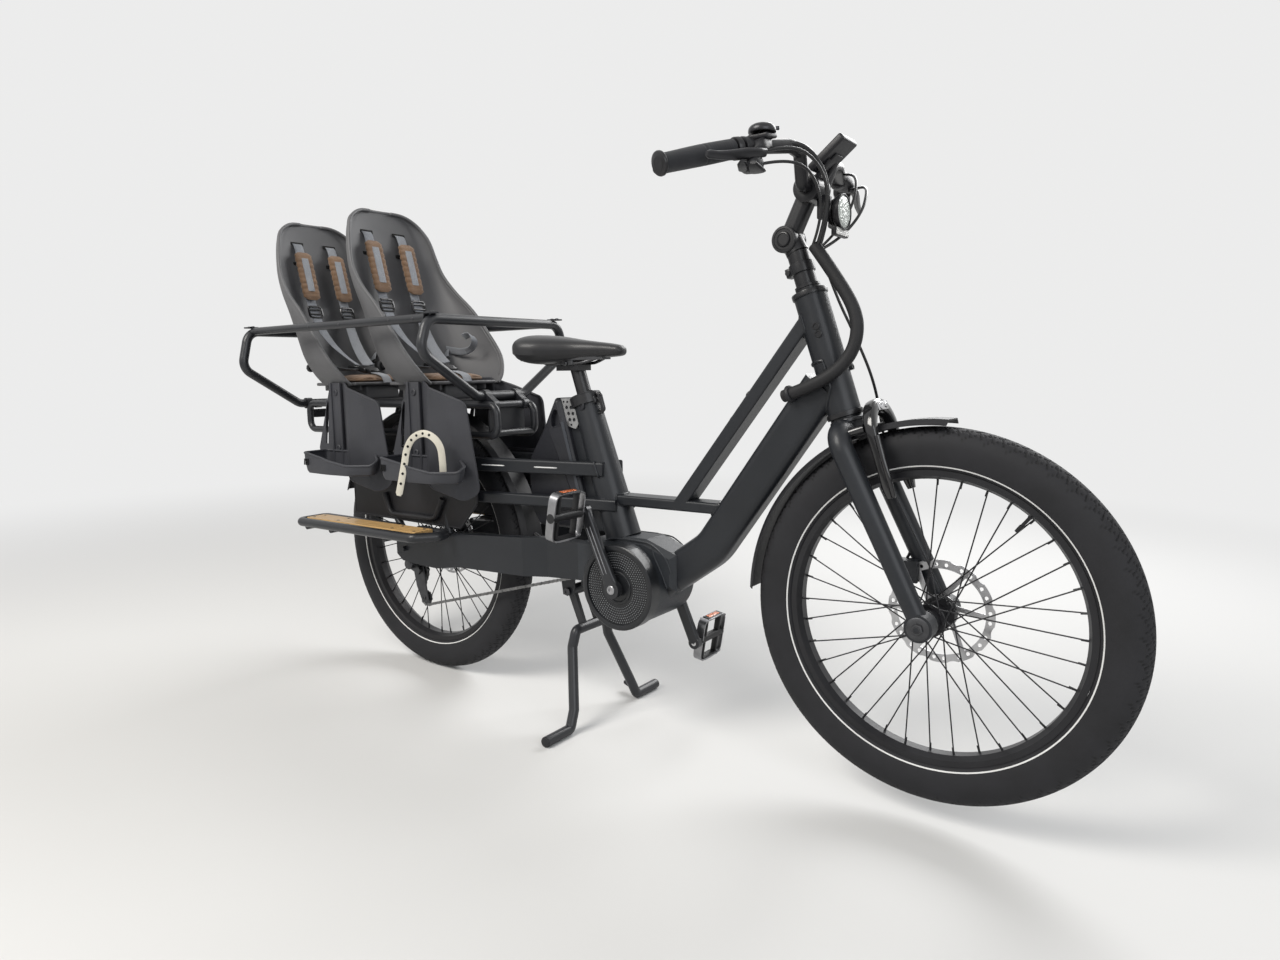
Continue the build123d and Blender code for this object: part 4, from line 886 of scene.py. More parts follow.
# Grips
# Moulded rubber grips that flare into a palm rest, with fine ribs under the fingers, an
# inner clamping ring and a rounded end cap.
grip_rubber = surface(
    "grip_rubber", (0.017, 0.018, 0.021), 0.72, vary=0.2, patch=30, bump=0.7, grain=1700.0, sheen=0.1
)
grip_parts, ring_parts = [], []
GRIP_STEPS = 96
for side in (-1, 1):
    start_at, end_at = at_clamp(-34, side * 214, 31.4), at_clamp(-86, side * 335, -3.5)
    run, back = (end_at - start_at).normalized(), Vector((-1, 0, -0.35))
    back = (back - run * back.dot(run)).normalized()
    up, rings = run.cross(back), []
    for index in range(GRIP_STEPS + 1):
        share = index / GRIP_STEPS
        flare = max(0.0, (share - 0.32) / 0.68)
        flare = flare * flare * (3 - 2 * flare)
        groove = 0.55 if 0.05 < share < 0.4 and index % 3 == 0 else 0.0
        groove += 0.9 if abs(share - 0.43) < 0.008 else 0.0
        radius = 15.2 + 0.8 * math.sin(math.pi * share) - groove + 0.9 * flare
        radius, palm = (radius, 12.0 * flare) if 0.01 < share < 0.985 else (radius * 0.9, 10.8 * flare)
        centre, ring = start_at.lerp(end_at, share), []
        for turn in turns(36):
            reach = math.cos(turn) * radius + max(math.cos(turn), 0.0) ** 1.6 * palm
            ring.append(centre + back * reach + up * math.sin(turn) * radius * (1 - 0.16 * flare))
        rings.append(ring)
    grip_parts.append(skin(rings))
    inner, cap_at = at_clamp(-29, side * 203, 33.6), at_clamp(-85.4, side * 333.6, -3.1)
    clamp_ring = [(0, 11.6), (0.4, 16.6), (1.4, 17.4), (9.6, 17.4), (10.8, 16.6), (11.0, 11.6)]
    end_cap = [
        (0, 15.2), (0.6, 17.4), (1.6, 18.2), (4.2, 18.4), (6.0, 17.6), (6.9, 15.4), (7.2, 9.0), (6.4, 8.6),
        (6.4, 0),
    ]
    ring_parts.append(turned(clamp_ring, inner, start_at - inner, 40))
    ring_parts.append(turned(end_cap, cap_at, at_clamp(-88, side * 340, -5) - cap_at, 40))
grips = piece("grip_rubber_pair", grip_parts, grip_rubber, "steering", crease=50)
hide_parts("grips")
piece("grip_rings", ring_parts, black_paint, "steering")

# Levers, shifter, bell and display
# Brake levers on clamps with boxy reservoirs, a two-paddle shifter under the right one, a
# dome bell above it, and a slim display held ahead of the bar. Cables arch to the stem.
control_plastic = surface(
    "control_plastic", (0.012, 0.012, 0.014), 0.4, vary=0.2, patch=24, bump=0.3, grain=1600.0
)
lever_metal = surface("lever_metal", (0.032, 0.032, 0.035), 0.32, metal=0.6, vary=0.2, patch=26, bump=0.15)


def lofted(wide, power, stations, base=CLAMP):
    """Smooth bar through stations of place from a base, half width and half height."""
    wide, middles, rings = Vector(wide), [base + Vector(station[:3]) for station in stations], []
    for index, (half_width, half_height) in enumerate(station[3:] for station in stations):
        run = heading(middles, index)
        across = (wide - run * wide.dot(run)).normalized()
        through, pairs = run.cross(across), squarish(20, power)
        rings.append([middles[index] + across * a * half_width + through * b * half_height for a, b in pairs])
    return skin(rings)


# ahead, side and up from the clamp, half width, half height
blade_table = [
    (-2, 170, 27, 4.0, 3.5), (2, 180, 27, 7.0, 5.0), (-1, 198, 24, 8.2, 4.6), (-8, 222, 19, 8.6, 4.2),
    (-18, 252, 12.6, 7.6, 3.8), (-25, 276, 9.6, 6.2, 3.4), (-29, 292, 8.4, 6.4, 3.8),
    (-30, 298, 8.0, 4.0, 2.6),
]
reservoir_table = [
    (-17, 132, 49, 7.0, 6.0), (-16, 137, 49, 13.5, 10.0), (-14, 158, 45, 15.0, 11.5),
    (-10, 176, 38, 14.0, 11.0),
    (-5, 188, 31, 9.0, 7.0), (-3, 190, 30, 6.0, 4.0),
]
shifter_table = [
    (-15, -176, 14, 10, 8), (-15, -180, 12, 16, 12), (-14, -194, 9, 18, 14), (-13, -206, 8, 14, 11),
    (-12, -212, 8, 8, 6),
]
thumb_table = [
    (-6, -186, -1, 9, 3), (0, -196, -4, 12, 3.2), (6, -210, -5, 12, 3.0), (10, -226, -2, 9, 2.8),
    (12, -234, 1, 5, 2.4),
]
finger_table = [(-24, -190, 2, 6, 3), (-20, -206, 0, 8, 3), (-12, -224, 3, 8, 2.8), (-6, -234, 6, 4, 2.4)]
blades, bodies = [], []
for side in (-1, 1):
    blades.append(lofted((0.5, 0, 1), 0.7, [(x, side * y, *rest) for x, y, *rest in blade_table]))
    bodies.append(lofted((1, 0, 0.2), 0.45, [(x, side * y, *rest) for x, y, *rest in reservoir_table]))
    band = [(-8, 11.4), (-7.4, 15.4), (-6, 16.0), (6, 16.0), (7.4, 15.4), (8, 11.4)]
    bodies.append(turned(band, at_clamp(-19, side * 158, 43), (-33, side * 102, -16), 32))
bodies.append(slab((36, 36, 9), at_clamp(-13, -158, 57.5), spun(10, "X"), 3.0, 3))
for table, power in ((shifter_table, 0.75), (thumb_table, 0.8), (finger_table, 0.8)):
    bodies.append(lofted((1, 0, 0), power, table))
band = [(-9, 11.4), (-8.4, 15.6), (-7, 16.2), (7, 16.2), (8.4, 15.6), (9, 11.4)]
bodies.append(turned(band, at_clamp(-25.5, -192, 36.6), (-3, -10, -1.4), 32))
controls = piece("lever_bodies", bodies, control_plastic, "steering", crease=45)
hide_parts("controls")
piece("lever_blades", blades, lever_metal, "steering", crease=50)
bell_foot = at_clamp(-12, -160, 58)
# distance up, radius
bell_dome = [
    (4.6, 19.6), (4.4, 21.6), (5.2, 22.0), (8.6, 22.0), (11.6, 21.2), (14.6, 18.8), (17.0, 14.8), (18.4, 9.2),
    (18.9, 3.6),
    (19.2, 0),
]
bell_parts = [
    turned([(0, 8), (1.4, 9.4), (3.6, 6.2), (5.0, 5.2), (6.2, 5.2)], bell_foot, UP, 32),
    turned(bell_dome, bell_foot, UP, 56),
    slab((13, 5, 6), bell_foot + Vector((16, 14, 12)), Matrix.Rotation(0.7, 4, "Z"), 1.6),
]
piece("bell", bell_parts, lever_metal, "steering", crease=40)
tilt = spun(52)
display_at = at_clamp(37, 0, 51)
display_parts = [
    slab((14, 62, 74), display_at, tilt, 4.2, 4),
    slab((5, 26, 34), display_at + tilt @ Vector((8.4, 0, -8)), tilt, 1.8, 3),
]
for side in (-1, 1):
    bracket = [(10, side * 16, 12, 5, 4), (24, side * 15, 24, 5, 4), (38, side * 13, 42, 5.5, 4)]
    display_parts.append(lofted(LEFT, 0.7, bracket))
piece("display_case", display_parts, control_plastic, "steering")
screen_glass = surface("screen_glass", (0.014, 0.017, 0.019), 0.07, vary=0.1, bump=0.0, coat=0.6)
glass = slab((1.2, 52, 60), display_at + tilt @ Vector((-7.0, 0, 2)), tilt, 0.5, 2)
piece("display_screen", glass, screen_glass, "steering")


def route_points(points, resolution=12):
    """Points along a smooth route, read from its spline."""
    curve = bpy.data.curves.new("route", "CURVE")
    curve.dimensions, curve.resolution_u = "3D", resolution
    spline = curve.splines.new("NURBS")
    spline.points.add(len(points) - 1)
    for target, point in zip(spline.points, points):
        target.co = (*point, 1.0)
    spline.order_u, spline.use_endpoint_u = 3, True
    return [vert.co.copy() for vert in baked(placed("route", curve)).vertices]


cable_black = surface("cable_black", (0.014, 0.014, 0.015), 0.3, vary=0.2, patch=40, bump=0.1, coat=0.15)
cables = []
for radius, row in (
    (2.6, [(-2, -182, 28), (20, -150, 40), (46, -112, 34), (62, -74, -6), (44, -44, -62), (22, -28, -100)]),
    (2.4, [(-4, -190, 8), (20, -150, 20), (44, -104, 12), (48, -64, -34), (28, -38, -80), (14, -30, -102)]),
    (4.0, [(-10, -128, 50), (14, -104, 58), (34, -70, 44), (48, -44, 4), (40, -26, -60), (22, -18, -100)]),
    (2.6, [(-2, 182, 28), (34, 148, 26), (64, 92, 4), (72, 44, -44), (44, 8, -90), (20, -10, -104)]),
    (2.4, [(-14, 132, 46), (26, 110, 44), (54, 70, 18), (58, 34, -36), (34, 6, -84), (14, -8, -104)]),
):
    cables.append(tube_skin(route_points([at_clamp(*point) for point in row]), radius, 10))
hose = [at_clamp(20, -10, -104)]
for place in ((560, 42, 4), (480, 46, 30), (400, 42, 66), (330, 26, 88), (220, 12, 86), (130, 4, 84)):
    hose.append(steer(*place))
hose += [(WHEELBASE - 58, 74, 420), (WHEELBASE - 62, 50, 405)]
cables.append(tube_skin(route_points(hose), 2.6, 10))
for side in (-1, 1):
    sheath = [(0, 4.6), (4, 4.8), (9, 3.4), (9.4, 2.4)]
    cables.append(turned(sheath, at_clamp(-2, side * 182, 28), (6, side * -30.94, 2), 14))
piece("control_cables", cables, cable_black, "steering", crease=60)

# Thick sleeve
# Rubber sleeve that gathers the cables and dips in one loop from the stem into a port in
# the side of the down tube.
sleeve_rubber = surface("sleeve_rubber", (0.01, 0.01, 0.011), 0.6, vary=0.2, patch=24, bump=0.4, grain=1200.0)
sleeve_route = []
for place in (
    (16, -24, -98), (56, -29, -150), (97, -33, -214), (99, -36, -262), (78, -41, -302), (28, -46, -334),
    (-34, -36, -353),
):
    sleeve_route.append(at_clamp(*place))
sleeve = tube_skin(route_points(sleeve_route, 16), 11, 24)
sleeve = piece("sleeve", sleeve, sleeve_rubber, None, crease=60)
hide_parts("cable_sleeve")
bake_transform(sleeve)
port_run = (sleeve_route[-2] - sleeve_route[-1]).normalized()
port = [(0, 11.2), (0.4, 14.6), (2.0, 15.6), (6.0, 15.2), (8.0, 13.6), (8.4, 11.3)]
port = turned(port, sleeve_route[-1] + port_run * 10, port_run, 32)
piece("sleeve_port", port, guard_plastic, "frame")

# Headlight
# Round lamp with a turned black housing, cooling ribs behind, a clear patterned lens and a
# pale prism reflector under it.
lamp_at, AHEAD = at_clamp(32, 0, -44), Vector((1, 0, 0))
# distance ahead, radius
housing = [
    (0, 0), (0.2, 14), (1.6, 17), (3.4, 17.6), (4.0, 20.8), (6.4, 21.0), (7.0, 18.8), (9.6, 19.4),
    (10.2, 23.4),
    (12.8, 23.8), (13.4, 21.6), (16.0, 22.6), (16.6, 26.8), (20.6, 29.2), (24.4, 30.0), (27.6, 30.0),
    (28.2, 29.2),
    (28.2, 27.4), (26.4, 26.8), (25.4, 0),
]
lamp_parts = [
    turned(housing, lamp_at, AHEAD, 64),
    slab((22, 16, 40), at_clamp(23, 0, -32), None, 3.0, 3),
    slab((9, 54, 15), at_clamp(51.5, 0, -77), None, 1.6, 2),
    slab((7, 9, 14), at_clamp(47, 0, -70), None, 1.4, 2),
]
headlight = piece("headlight_case", lamp_parts, control_plastic, "steering", crease=32)
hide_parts("headlight")


def patterned_lens(name, colour, cell, rough=0.08):
    """Clear moulded plastic over a bright backing, with small prism cells."""
    made = surface(name, colour, rough, metal=0.35, vary=0.12, patch=60, bump=0.9, coat=0.6)
    tree = made.node_tree
    cells = wired(
        tree, "ShaderNodeTexVoronoi", {"Vector": tree.nodes["place"].outputs["Object"], "Scale": cell}
    )
    tree.links.new(cells.outputs["Distance"], tree.nodes["relief"].inputs["Height"])
    tree.nodes["relief"].inputs["Distance"].default_value = 0.0015
    return made


lens_clear = patterned_lens("lens_clear", (0.5, 0.53, 0.5), 260.0)
front_glass = [(25.3, 26.9), (26.6, 26.6), (27.6, 24.0), (28.4, 17.0), (28.8, 8.0), (28.9, 0)]
lens = [turned(front_glass, lamp_at, AHEAD, 64)]
for radius in (8, 15, 21.5):
    lens.append(
        tube_skin(circle(lamp_at + AHEAD * (28.6 - radius * 0.03), LEFT, UP, radius, 48), 0.7, 6, closed=True)
    )
piece("headlight_lens", lens, lens_clear, "steering", crease=40)
reflector = slab((2.4, 50, 11.5), at_clamp(56.4, 0, -77), None, 0.8, 2)
prisms = patterned_lens("reflector_clear", (0.62, 0.62, 0.6), 420.0, 0.16)
piece("front_reflector", reflector, prisms, "steering")

# Rack, hoops and rear panels
# Bent steel tubes in a satin black coat, clamped together in blocks with cap screws, over a
# dark deck. Flat dark panels keep feet out of the wheel, and a red lens closes the rear.
rail_black = surface("rail_black", (0.02, 0.021, 0.024), 0.36, vary=0.16, bump=0.15, coat=0.1)
dress(rail_black, "guard_rail", "rack", "board_frames", "stand")
dress(guard_plastic, "wheel_skirts")
screws = []
for x, z in ((246, 689), (274, 669), (-445, 669), (-400, 669)):
    for side in (-1, 1):
        clamp_nut = [
            (0, 7.4), (0.8, 7.2), (1.2, 5.6), (5.0, 5.4), (5.8, 4.6), (5.8, 2.6), (3.4, 2.4), (3.4, 0)
        ]
        screws.append(turned(clamp_nut, (x, side * 55.6, z), LEFT * side, 16))
for x in (246, -445):
    for side in (-1, 1):
        for shift in (-8, 8):
            cap_screw = [(0, 4.4), (1.4, 4.2), (2.2, 3.2), (2.2, 1.8), (1.0, 1.6), (1.0, 0)]
            screws.append(turned(cap_screw, (x + shift, side * 196, 869.2), UP, 14))
for x in (200, 120, -60, -180):
    screws.append(turned([(0, 3.4), (0.8, 3.2), (1.2, 2.2), (1.2, 0)], (x, -205.2, 858), -LEFT, 12))
piece("rack_screws", screws, dark_steel, "frame")
deck_ribs = [slab((560, 5, 3.4), (-75, y, 680.6), None, 1.2, 2) for y in (-46, -30, -14, 14, 30, 46)]
piece("deck_ribs", deck_ribs, guard_plastic, "frame")
tail_red = patterned_lens("tail_red", (0.42, 0.012, 0.01), 380.0, 0.12)
piece("tail_lens", slab((2.6, 112, 15), (-431.2, 0, 641), None, 1.0, 2), tail_red, "frame")
# along the bike, up
skirt_outline = [(-200, 392), (190, 386), (248, 447), (248, 515), (-200, 515)]
skirt_rim = []
for side in (-1, 1):
    for ends in zip(skirt_outline, skirt_outline[1:] + skirt_outline[:1]):
        skirt_rim.append(tube_skin([(x, side * 88, z) for x, z in ends], 2.9, 10))
piece("panel_edges", skirt_rim, guard_plastic, "frame")

# Seat shells
# Two blow-moulded bucket seats in grey plastic, one behind the other: a tall back between
# two wings, with a rolled edge all round and stiffening ribs. Slots take the straps.
shell_grey = surface("shell_grey", (0.098, 0.098, 0.102), 0.5, vary=0.12, patch=6, bump=0.35, grain=1000.0)
SEAT_PITCH = 300.0
SEATS = (("front", 0.0), ("rear", -SEAT_PITCH))
# height, half width, front of the wings, back
shell_table = [
    (718, 110, 133, -57), (744, 132, 126, -70), (786, 151, 103, -84), (840, 154, 60, -99),
    (900, 152, 8, -115),
    (950, 147, -48, -128), (997, 140, -87, -138), (1040, 133, -104, -147), (1085, 123, -116, -155),
    (1118, 106, -132, -159), (1136, 84, -141, -161), (1145, 61, -148, -161.5), (1147, 36, -151.5, -162),
]


def arc_run(start_at, middle, end_at, count):
    """Points on the circle through three points of a plan, without the last."""
    (ax, ay), (bx, by), (cx, cy) = start_at, middle, end_at
    a2, b2, c2 = ax * ax + ay * ay, bx * bx + by * by, cx * cx + cy * cy
    d = 2 * (ax * (by - cy) + bx * (cy - ay) + cx * (ay - by))
    ux = (a2 * (by - cy) + b2 * (cy - ay) + c2 * (ay - by)) / d
    uy = (a2 * (cx - bx) + b2 * (ax - cx) + c2 * (bx - ax)) / d
    radius = math.hypot(ax - ux, ay - uy)
    first, mid, last = [math.atan2(y - uy, x - ux) for x, y in (start_at, middle, end_at)]
    span = (last - first) % (2 * math.pi)
    if (mid - first) % (2 * math.pi) > span:
        span -= 2 * math.pi
    angles = [first + span * step / count for step in range(count)]
    return [(ux + radius * math.cos(angle), uy + radius * math.sin(angle)) for angle in angles]


def bucket_plan(half, front, back):
    """Level section of the bucket from the right wing's edge round to the left."""
    depth = front - back
    wing, corner = (front - 0.41 * depth, 0.96 * half), (front - 0.73 * depth, 0.8 * half)
    run = arc_run((front, -half), (wing[0], -wing[1]), (corner[0], -corner[1]), 14)
    run += arc_run((corner[0], -corner[1]), (back, 0), corner, 24)
    run += arc_run(corner, wing, (front, half), 14)
    return run + [(front, half)]


def bucket(shift):
    """Shell of one seat with its rolled edge, ribs and pan, and the rows of its two faces."""
    outer, inner = [], []
    for tall, half, front, back in catmull(shell_table, 5):
        outer.append([Vector((x + shift, y, tall)) for x, y in bucket_plan(half, front, back)])
        inner.append([Vector((x + shift, y, tall)) for x, y in bucket_plan(half - 5, front, back + 5)])
    wall = skin([out_row + list(reversed(in_row)) for out_row, in_row in zip(outer, inner)])
    middle = [[(a + b) / 2 for a, b in zip(out_row, in_row)] for out_row, in_row in zip(outer, inner)]
    edge = [row[0] for row in middle] + middle[-1][1:-1] + [row[-1] for row in reversed(middle)]
    parts = [wall, tube_skin(edge, 4.1, 12)]
    for end, inward in ((0, 1.4), (-1, -1.4)):
        parts.append(tube_skin([row[end] + Vector((-9, inward, 0)) for row in middle[4:-8]], 2.2, 8))
    for across in (20, 26, 32):
        rib = [row[across] + Vector((-1.2, 0, 0)) for row in outer[6:-12]]
        parts.append(tube_skin(rib, [1.0] + [3.4] * (len(rib) - 2) + [1.0], 10))
    parts.append(slab((168, 190, 8), (54 + shift, 0, 720), None, 3.0, 3))
    parts.append(slab((160, 104, 36), (40 + shift, 0, 698), None, 7.0, 3))
    for y in (-70, 70):
        parts.append(slab((150, 7, 14), (50 + shift, y, 710), None, 2.0, 2))
    return joined(*parts), outer, inner


slots, knobs = [], []
knob = [(0, 5), (28, 5), (28.6, 10), (30, 11.6), (37, 12), (39, 11), (40, 8), (40, 0)]
for name, shift in SEATS:
    shape, outer, inner = bucket(shift)
    shell = piece("bucket_" + name, shape, shell_grey, "frame", crease=40)
    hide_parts("seat_shell_" + name)
    # The strap slots are not cut through the shell; thin near-black plates on both faces are painted shade.
    for height in (1094, 1040):
        row = min(range(len(inner)), key=lambda k: abs(inner[k][26].z - height))
        for y in (-50, 50):
            for face, off in ((inner, 1.0), (outer, -1.0)):
                near = min(face[row], key=lambda point: abs(point.y - y))
                slots.append(slab((2.6, 40, 9), (near.x + off, y, height), spun(-9), 1.2, 2))
    for y in (-66, 66):
        knobs.append(turned(knob, (shift - 60, y, 764), (-1, 0, 0), 10))
piece("strap_slots", slots, painted_hole_shade, "frame")
piece("seat_knobs", knobs, guard_plastic, "frame", crease=30)

# Seat pads
# Thin tan cushions of woven cloth, sewn in three channels over a soft filling and finished
# with a corded edge, resting on the seat pans.


def woven(name, colour, threads, rough=0.85, strength=0.5, vary=0.14):
    """Cloth of crossing threads, in object space."""
    made = surface(name, colour, rough, vary=vary, patch=22, bump=strength, sheen=0.25)
    tree = made.node_tree
    thread = {
        "Vector": tree.nodes["place"].outputs["Object"], "Scale": threads, "Distortion": 0.6, "Detail": 1.0
    }
    bands = [wired(tree, "ShaderNodeTexWave", thread, bands_direction=axis).outputs["Fac"] for axis in "XYZ"]
    higher = wired(tree, "ShaderNodeMath", {0: bands[0], 1: bands[1]}, operation="MAXIMUM").outputs[0]
    weave = wired(tree, "ShaderNodeMath", {0: higher, 1: bands[2]}, operation="ADD").outputs[0]
    tree.links.new(weave, tree.nodes["relief"].inputs["Height"])
    tree.nodes["relief"].inputs["Distance"].default_value = 0.0006
    return made


pad_tan = woven("pad_tan", (0.2, 0.118, 0.066), 480.0)


def cushion(size, centre, thin=0.35, count=29):
    """Closed crowned form, thick in the middle and thin at its edge."""
    length, width, height = size
    top, bottom, faces, shift = [], [], [], count * count
    steps = [-1 + 2 * step / (count - 1) for step in range(count)]
    for v in steps:
        for u in steps:
            x = centre[0] + u * math.sqrt(1 - 0.16 * v * v) * length / 2
            y = centre[1] + v * math.sqrt(1 - 0.16 * u * u) * width / 2
            full = (1 - abs(u) ** 5) * (1 - abs(v) ** 5)
            top.append((x, y, centre[2] + height * (thin + (1 - thin) * full ** 0.6)))
            bottom.append((x, y, centre[2]))
    for row in range(count - 1):
        for column in range(count - 1):
            a = row * count + column
            faces.append((a, a + 1, a + count + 1, a + count))
            faces.append((shift + a, shift + a + count, shift + a + count + 1, shift + a + 1))
    edge = list(range(count)) + [row * count + count - 1 for row in range(1, count)]
    edge += [(count - 1) * count + k for k in range(count - 2, -1, -1)]
    edge += [row * count for row in range(count - 2, 0, -1)]
    for here, after in zip(edge, edge[1:] + edge[:1]):
        faces.append((here, shift + here, shift + after, after))
    return top + bottom, faces


def swollen(mesh, cap):
    """Let the air in: cloth under pressure for twenty steps, each point's move held to a cap."""
    source = placed("pad_start", mesh)
    even = source.modifiers.new("even", "REMESH")
    even.mode, even.voxel_size = "VOXEL", 0.005
    start_mesh = baked(source)
    trial = placed("pad_trial", start_mesh)
    cloth = trial.modifiers.new("cloth", "CLOTH")
    cloth.settings.use_pressure = True
    cloth.settings.uniform_pressure_force = 4.0
    cloth.settings.quality = 4
    cloth.settings.effector_weights.gravity = 0.0
    cloth.point_cache.frame_start, cloth.point_cache.frame_end = 1, 20
    for step in range(1, 21):
        scene.frame_set(step)
    full_mesh = bpy.data.meshes.new_from_object(trial.evaluated_get(bpy.context.evaluated_depsgraph_get()))
    scene.frame_set(1)
    for vert, start in zip(full_mesh.vertices, start_mesh.vertices):
        shift = vert.co - start.co
        if shift.length > cap:
            vert.co = start.co + shift * (cap / shift.length)
    bpy.data.objects.remove(trial)
    return full_mesh


piping = []
for name, shift in SEATS:
    points, faces = cushion((134, 152, 13), (61 + shift, 0, 725.5))
    mesh = bpy.data.meshes.new("pad_" + name)
    mesh.from_pydata(points, [], faces)
    mesh.transform(LEVEL)
    mesh = swollen(mesh, 0.005)
    home = LEVEL.inverted()
    for vert in mesh.vertices:
        place = home @ vert.co
        if place.z > 730:
            sink = sum(3.4 * math.exp(-((place.y - seam) / 3.4) ** 2) for seam in (-27, 27))
            sink += 3.0 * math.exp(-((place.x - shift - 96) / 3.2) ** 2)
            place.z -= min(sink, 4.6)
        place.z = max(place.z, 724.4)
        vert.co = LEVEL @ place
    mesh.materials.clear()
    mesh.materials.append(pad_tan)
    mesh.shade_smooth()
    pad = placed("seat_cushion_" + name, mesh)
    finer = pad.modifiers.new("finer", "SUBSURF")
    finer.levels = finer.render_levels = 1
    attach(pad, "frame")
    if name == "front":
        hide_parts("seat_pads")
    edge = [Vector((61 + shift + a * 66, b * 75, 729.4)) for a, b in squarish(72, 0.42)]
    piping.append(tube_skin(edge, 2.3, 8, closed=True))
piece("pad_piping", piping, pad_tan, "frame")

# Harness
# Pale grey webbing threaded through the shell, with ribbed tan shoulder pads, three-bar
# slides and a black buckle over a strap that comes up between the legs.
webbing = woven("webbing", (0.29, 0.305, 0.335), 900.0, 0.7, 0.7, 0.1)
buckle_black = surface("buckle_black", (0.012, 0.012, 0.013), 0.2, vary=0.2, patch=30, bump=0.05, coat=0.3)
strap_section = [(-1, -0.35), (-0.94, -1), (-0.5, -1), (0, -1), (0.5, -1), (0.94, -1), (1, -0.35)]
strap_section += [(-a, -b) for a, b in strap_section]


def ribbon(points, wide, width, thick=1.6, steps=8):
    """Flat strap along a smooth run, its width turned toward a direction."""
    run, rings = catmull(points, steps), []
    wides = catmull(wide, steps) if isinstance(wide, list) else [Vector(wide)] * len(run)
    for index, point in enumerate(run):
        along = heading(run, index)
        across = (wides[index] - along * wides[index].dot(along)).normalized()
        through = along.cross(across)
        rings.append([point + across * a * width / 2 + through * b * thick / 2 for a, b in strap_section])
    return skin(rings)


def slide(centre, along, across, width, height):
    """Three-bar slide: a rounded frame with two bars across it."""
    centre, along, across = Vector(centre), Vector(along).normalized(), Vector(across).normalized()
    outline = [centre + across * (a * width / 2) + along * (b * height / 2) for a, b in squarish(28, 0.35)]
    bars = [tube_skin(outline, 2.6, 8, closed=True)]
    for shift in (-height / 5, height / 5):
        ends = [centre + along * shift + across * reach for reach in (-width / 2, width / 2)]
        bars.append(tube_skin(ends, 2.2, 8))
    return joined(*bars)


def sided(row, side, shift=0.0):
    """Points of a row moved to a seat, on its right or left side."""
    return [Vector((x + shift, y * side, z)) for x, y, z in row]


# middle of each strap, and the direction of its width
shoulder_run = [
    (-151, 50, 1095), (-141, 50, 1088), (-131, 50, 1062), (-118, 50, 1010), (-102, 50, 950), (-83, 49, 904)
]
chest_run = [(-83, 49, 904), (-62, 45, 862), (-30, 36, 822), (8, 25, 790), (44, 16, 768)]
chest_wide = [(0, 1, 0), (0.1, 1, 0), (0.25, 1, 0.1), (0.3, 1, 0.25), (0.3, 1, 0.2)]
hip_run = [(-50, 104, 800), (-34, 84, 778), (-4, 56, 762), (30, 30, 757), (50, 18, 757)]
hip_wide = [(0.5, 0.3, 0.6), (0.6, 0.4, 0.5), (0.75, 0.4, 0.3), (0.8, 0.4, 0.1), (0.8, 0.4, 0.1)]
leg_run = [(66, 0, 752), (88, 0, 748), (112, 0, 744), (132, 0, 737), (141, 0, 722)]
for name, shift in SEATS:
    straps, pads, hardware = [], [], []
    for side in (-1, 1):
        straps.append(ribbon(sided(shoulder_run, side, shift), LEFT, 27))
        straps.append(ribbon(sided(chest_run, side, shift), sided(chest_wide, side), 27))
        straps.append(ribbon(sided(hip_run, side, shift), sided(hip_wide, side), 24))
        fixed = [(-128, 50, 1068), (-94, 50, 942), (-85, 49, 910), (-28, 76, 773)]
        top, low, chest_slide, hip_slide = sided(fixed, side, shift)
        run, length = (low - top).normalized(), (low - top).length
        out = LEFT.cross(run)
        out = out if out.x > 0 else -out
        rings = []
        for index in range(61):
            share, ring = index / 60, []
            rib = 1.9 * abs(math.sin(math.pi * 9 * share)) ** 0.6
            end = min(1.0, 7 * share + 0.25, 7 * (1 - share) + 0.25)
            for a, b in squarish(24, 0.55, 0.8):
                a *= (22.4 + 1.3 * rib) * min(1.0, end + 0.35)
                b *= (4.6 + rib) * end
                b *= 1 - 0.36 * math.exp(-(a / 9.5) ** 4) if b > 0 else 1.0
                ring.append(top + run * length * share + LEFT * a + out * (b + 4.5))
            rings.append(ring)
        pads.append(skin(rings))
        over = [top + run * far + out * lift for far, lift in ((18, 9.4), (46, 9.9), (78, 9.9), (108, 9.4))]
        straps.append(ribbon(over, LEFT, 20, 1.8))
        hardware.append(slide(chest_slide + out * 3, run, LEFT, 38, 30))
        hardware.append(slide(hip_slide, (0.8, -0.5 * side, -0.25), (0.6, 0.4 * side, 0.5), 32, 22))
    straps.append(ribbon(sided(leg_run, 1, shift), LEFT, 26))
    hardware.append(slab((46, 44, 15), (54 + shift, 0, 758), spun(14), 5.0, 4))
    hardware.append(slab((24, 30, 13), (78 + shift, 0, 752), spun(14), 3.5, 3))
    hardware.append(slab((18, 22, 3), (52 + shift, 0, 766), spun(14), 1.2, 2))
    for side in (-1, 1):
        hardware.append(slab((30, 22, 8), (34 + shift, side * 20, 763), spun(-24 * side, "Z"), 3.0, 3))
    harness = piece("harness_webbing_" + name, straps, webbing, "frame", crease=50)
    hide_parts("harness_" + name)
    shoulder = piece("shoulder_pads_" + name, pads, pad_tan, "frame", crease=60)
    piece("harness_buckles_" + name, hardware, buckle_black, "frame", crease=40)
loose_run = [
    (-50, 106, 804), (-28, 108, 800), (4, 112, 797), (36, 112, 804), (52, 108, 822), (42, 104, 838),
    (16, 106, 834)
]
loose_wide = [
    (0.1, -0.3, 1), (0.1, -0.3, 1), (0, -0.5, 1), (0, -0.9, 0.6), (0, -1, 0.3), (0, -0.9, 0.5), (0, -0.7, 0.8)
]
piece("loose_strap_end", ribbon(loose_run, loose_wide, 19, 1.6, 10), webbing, "frame", crease=50)

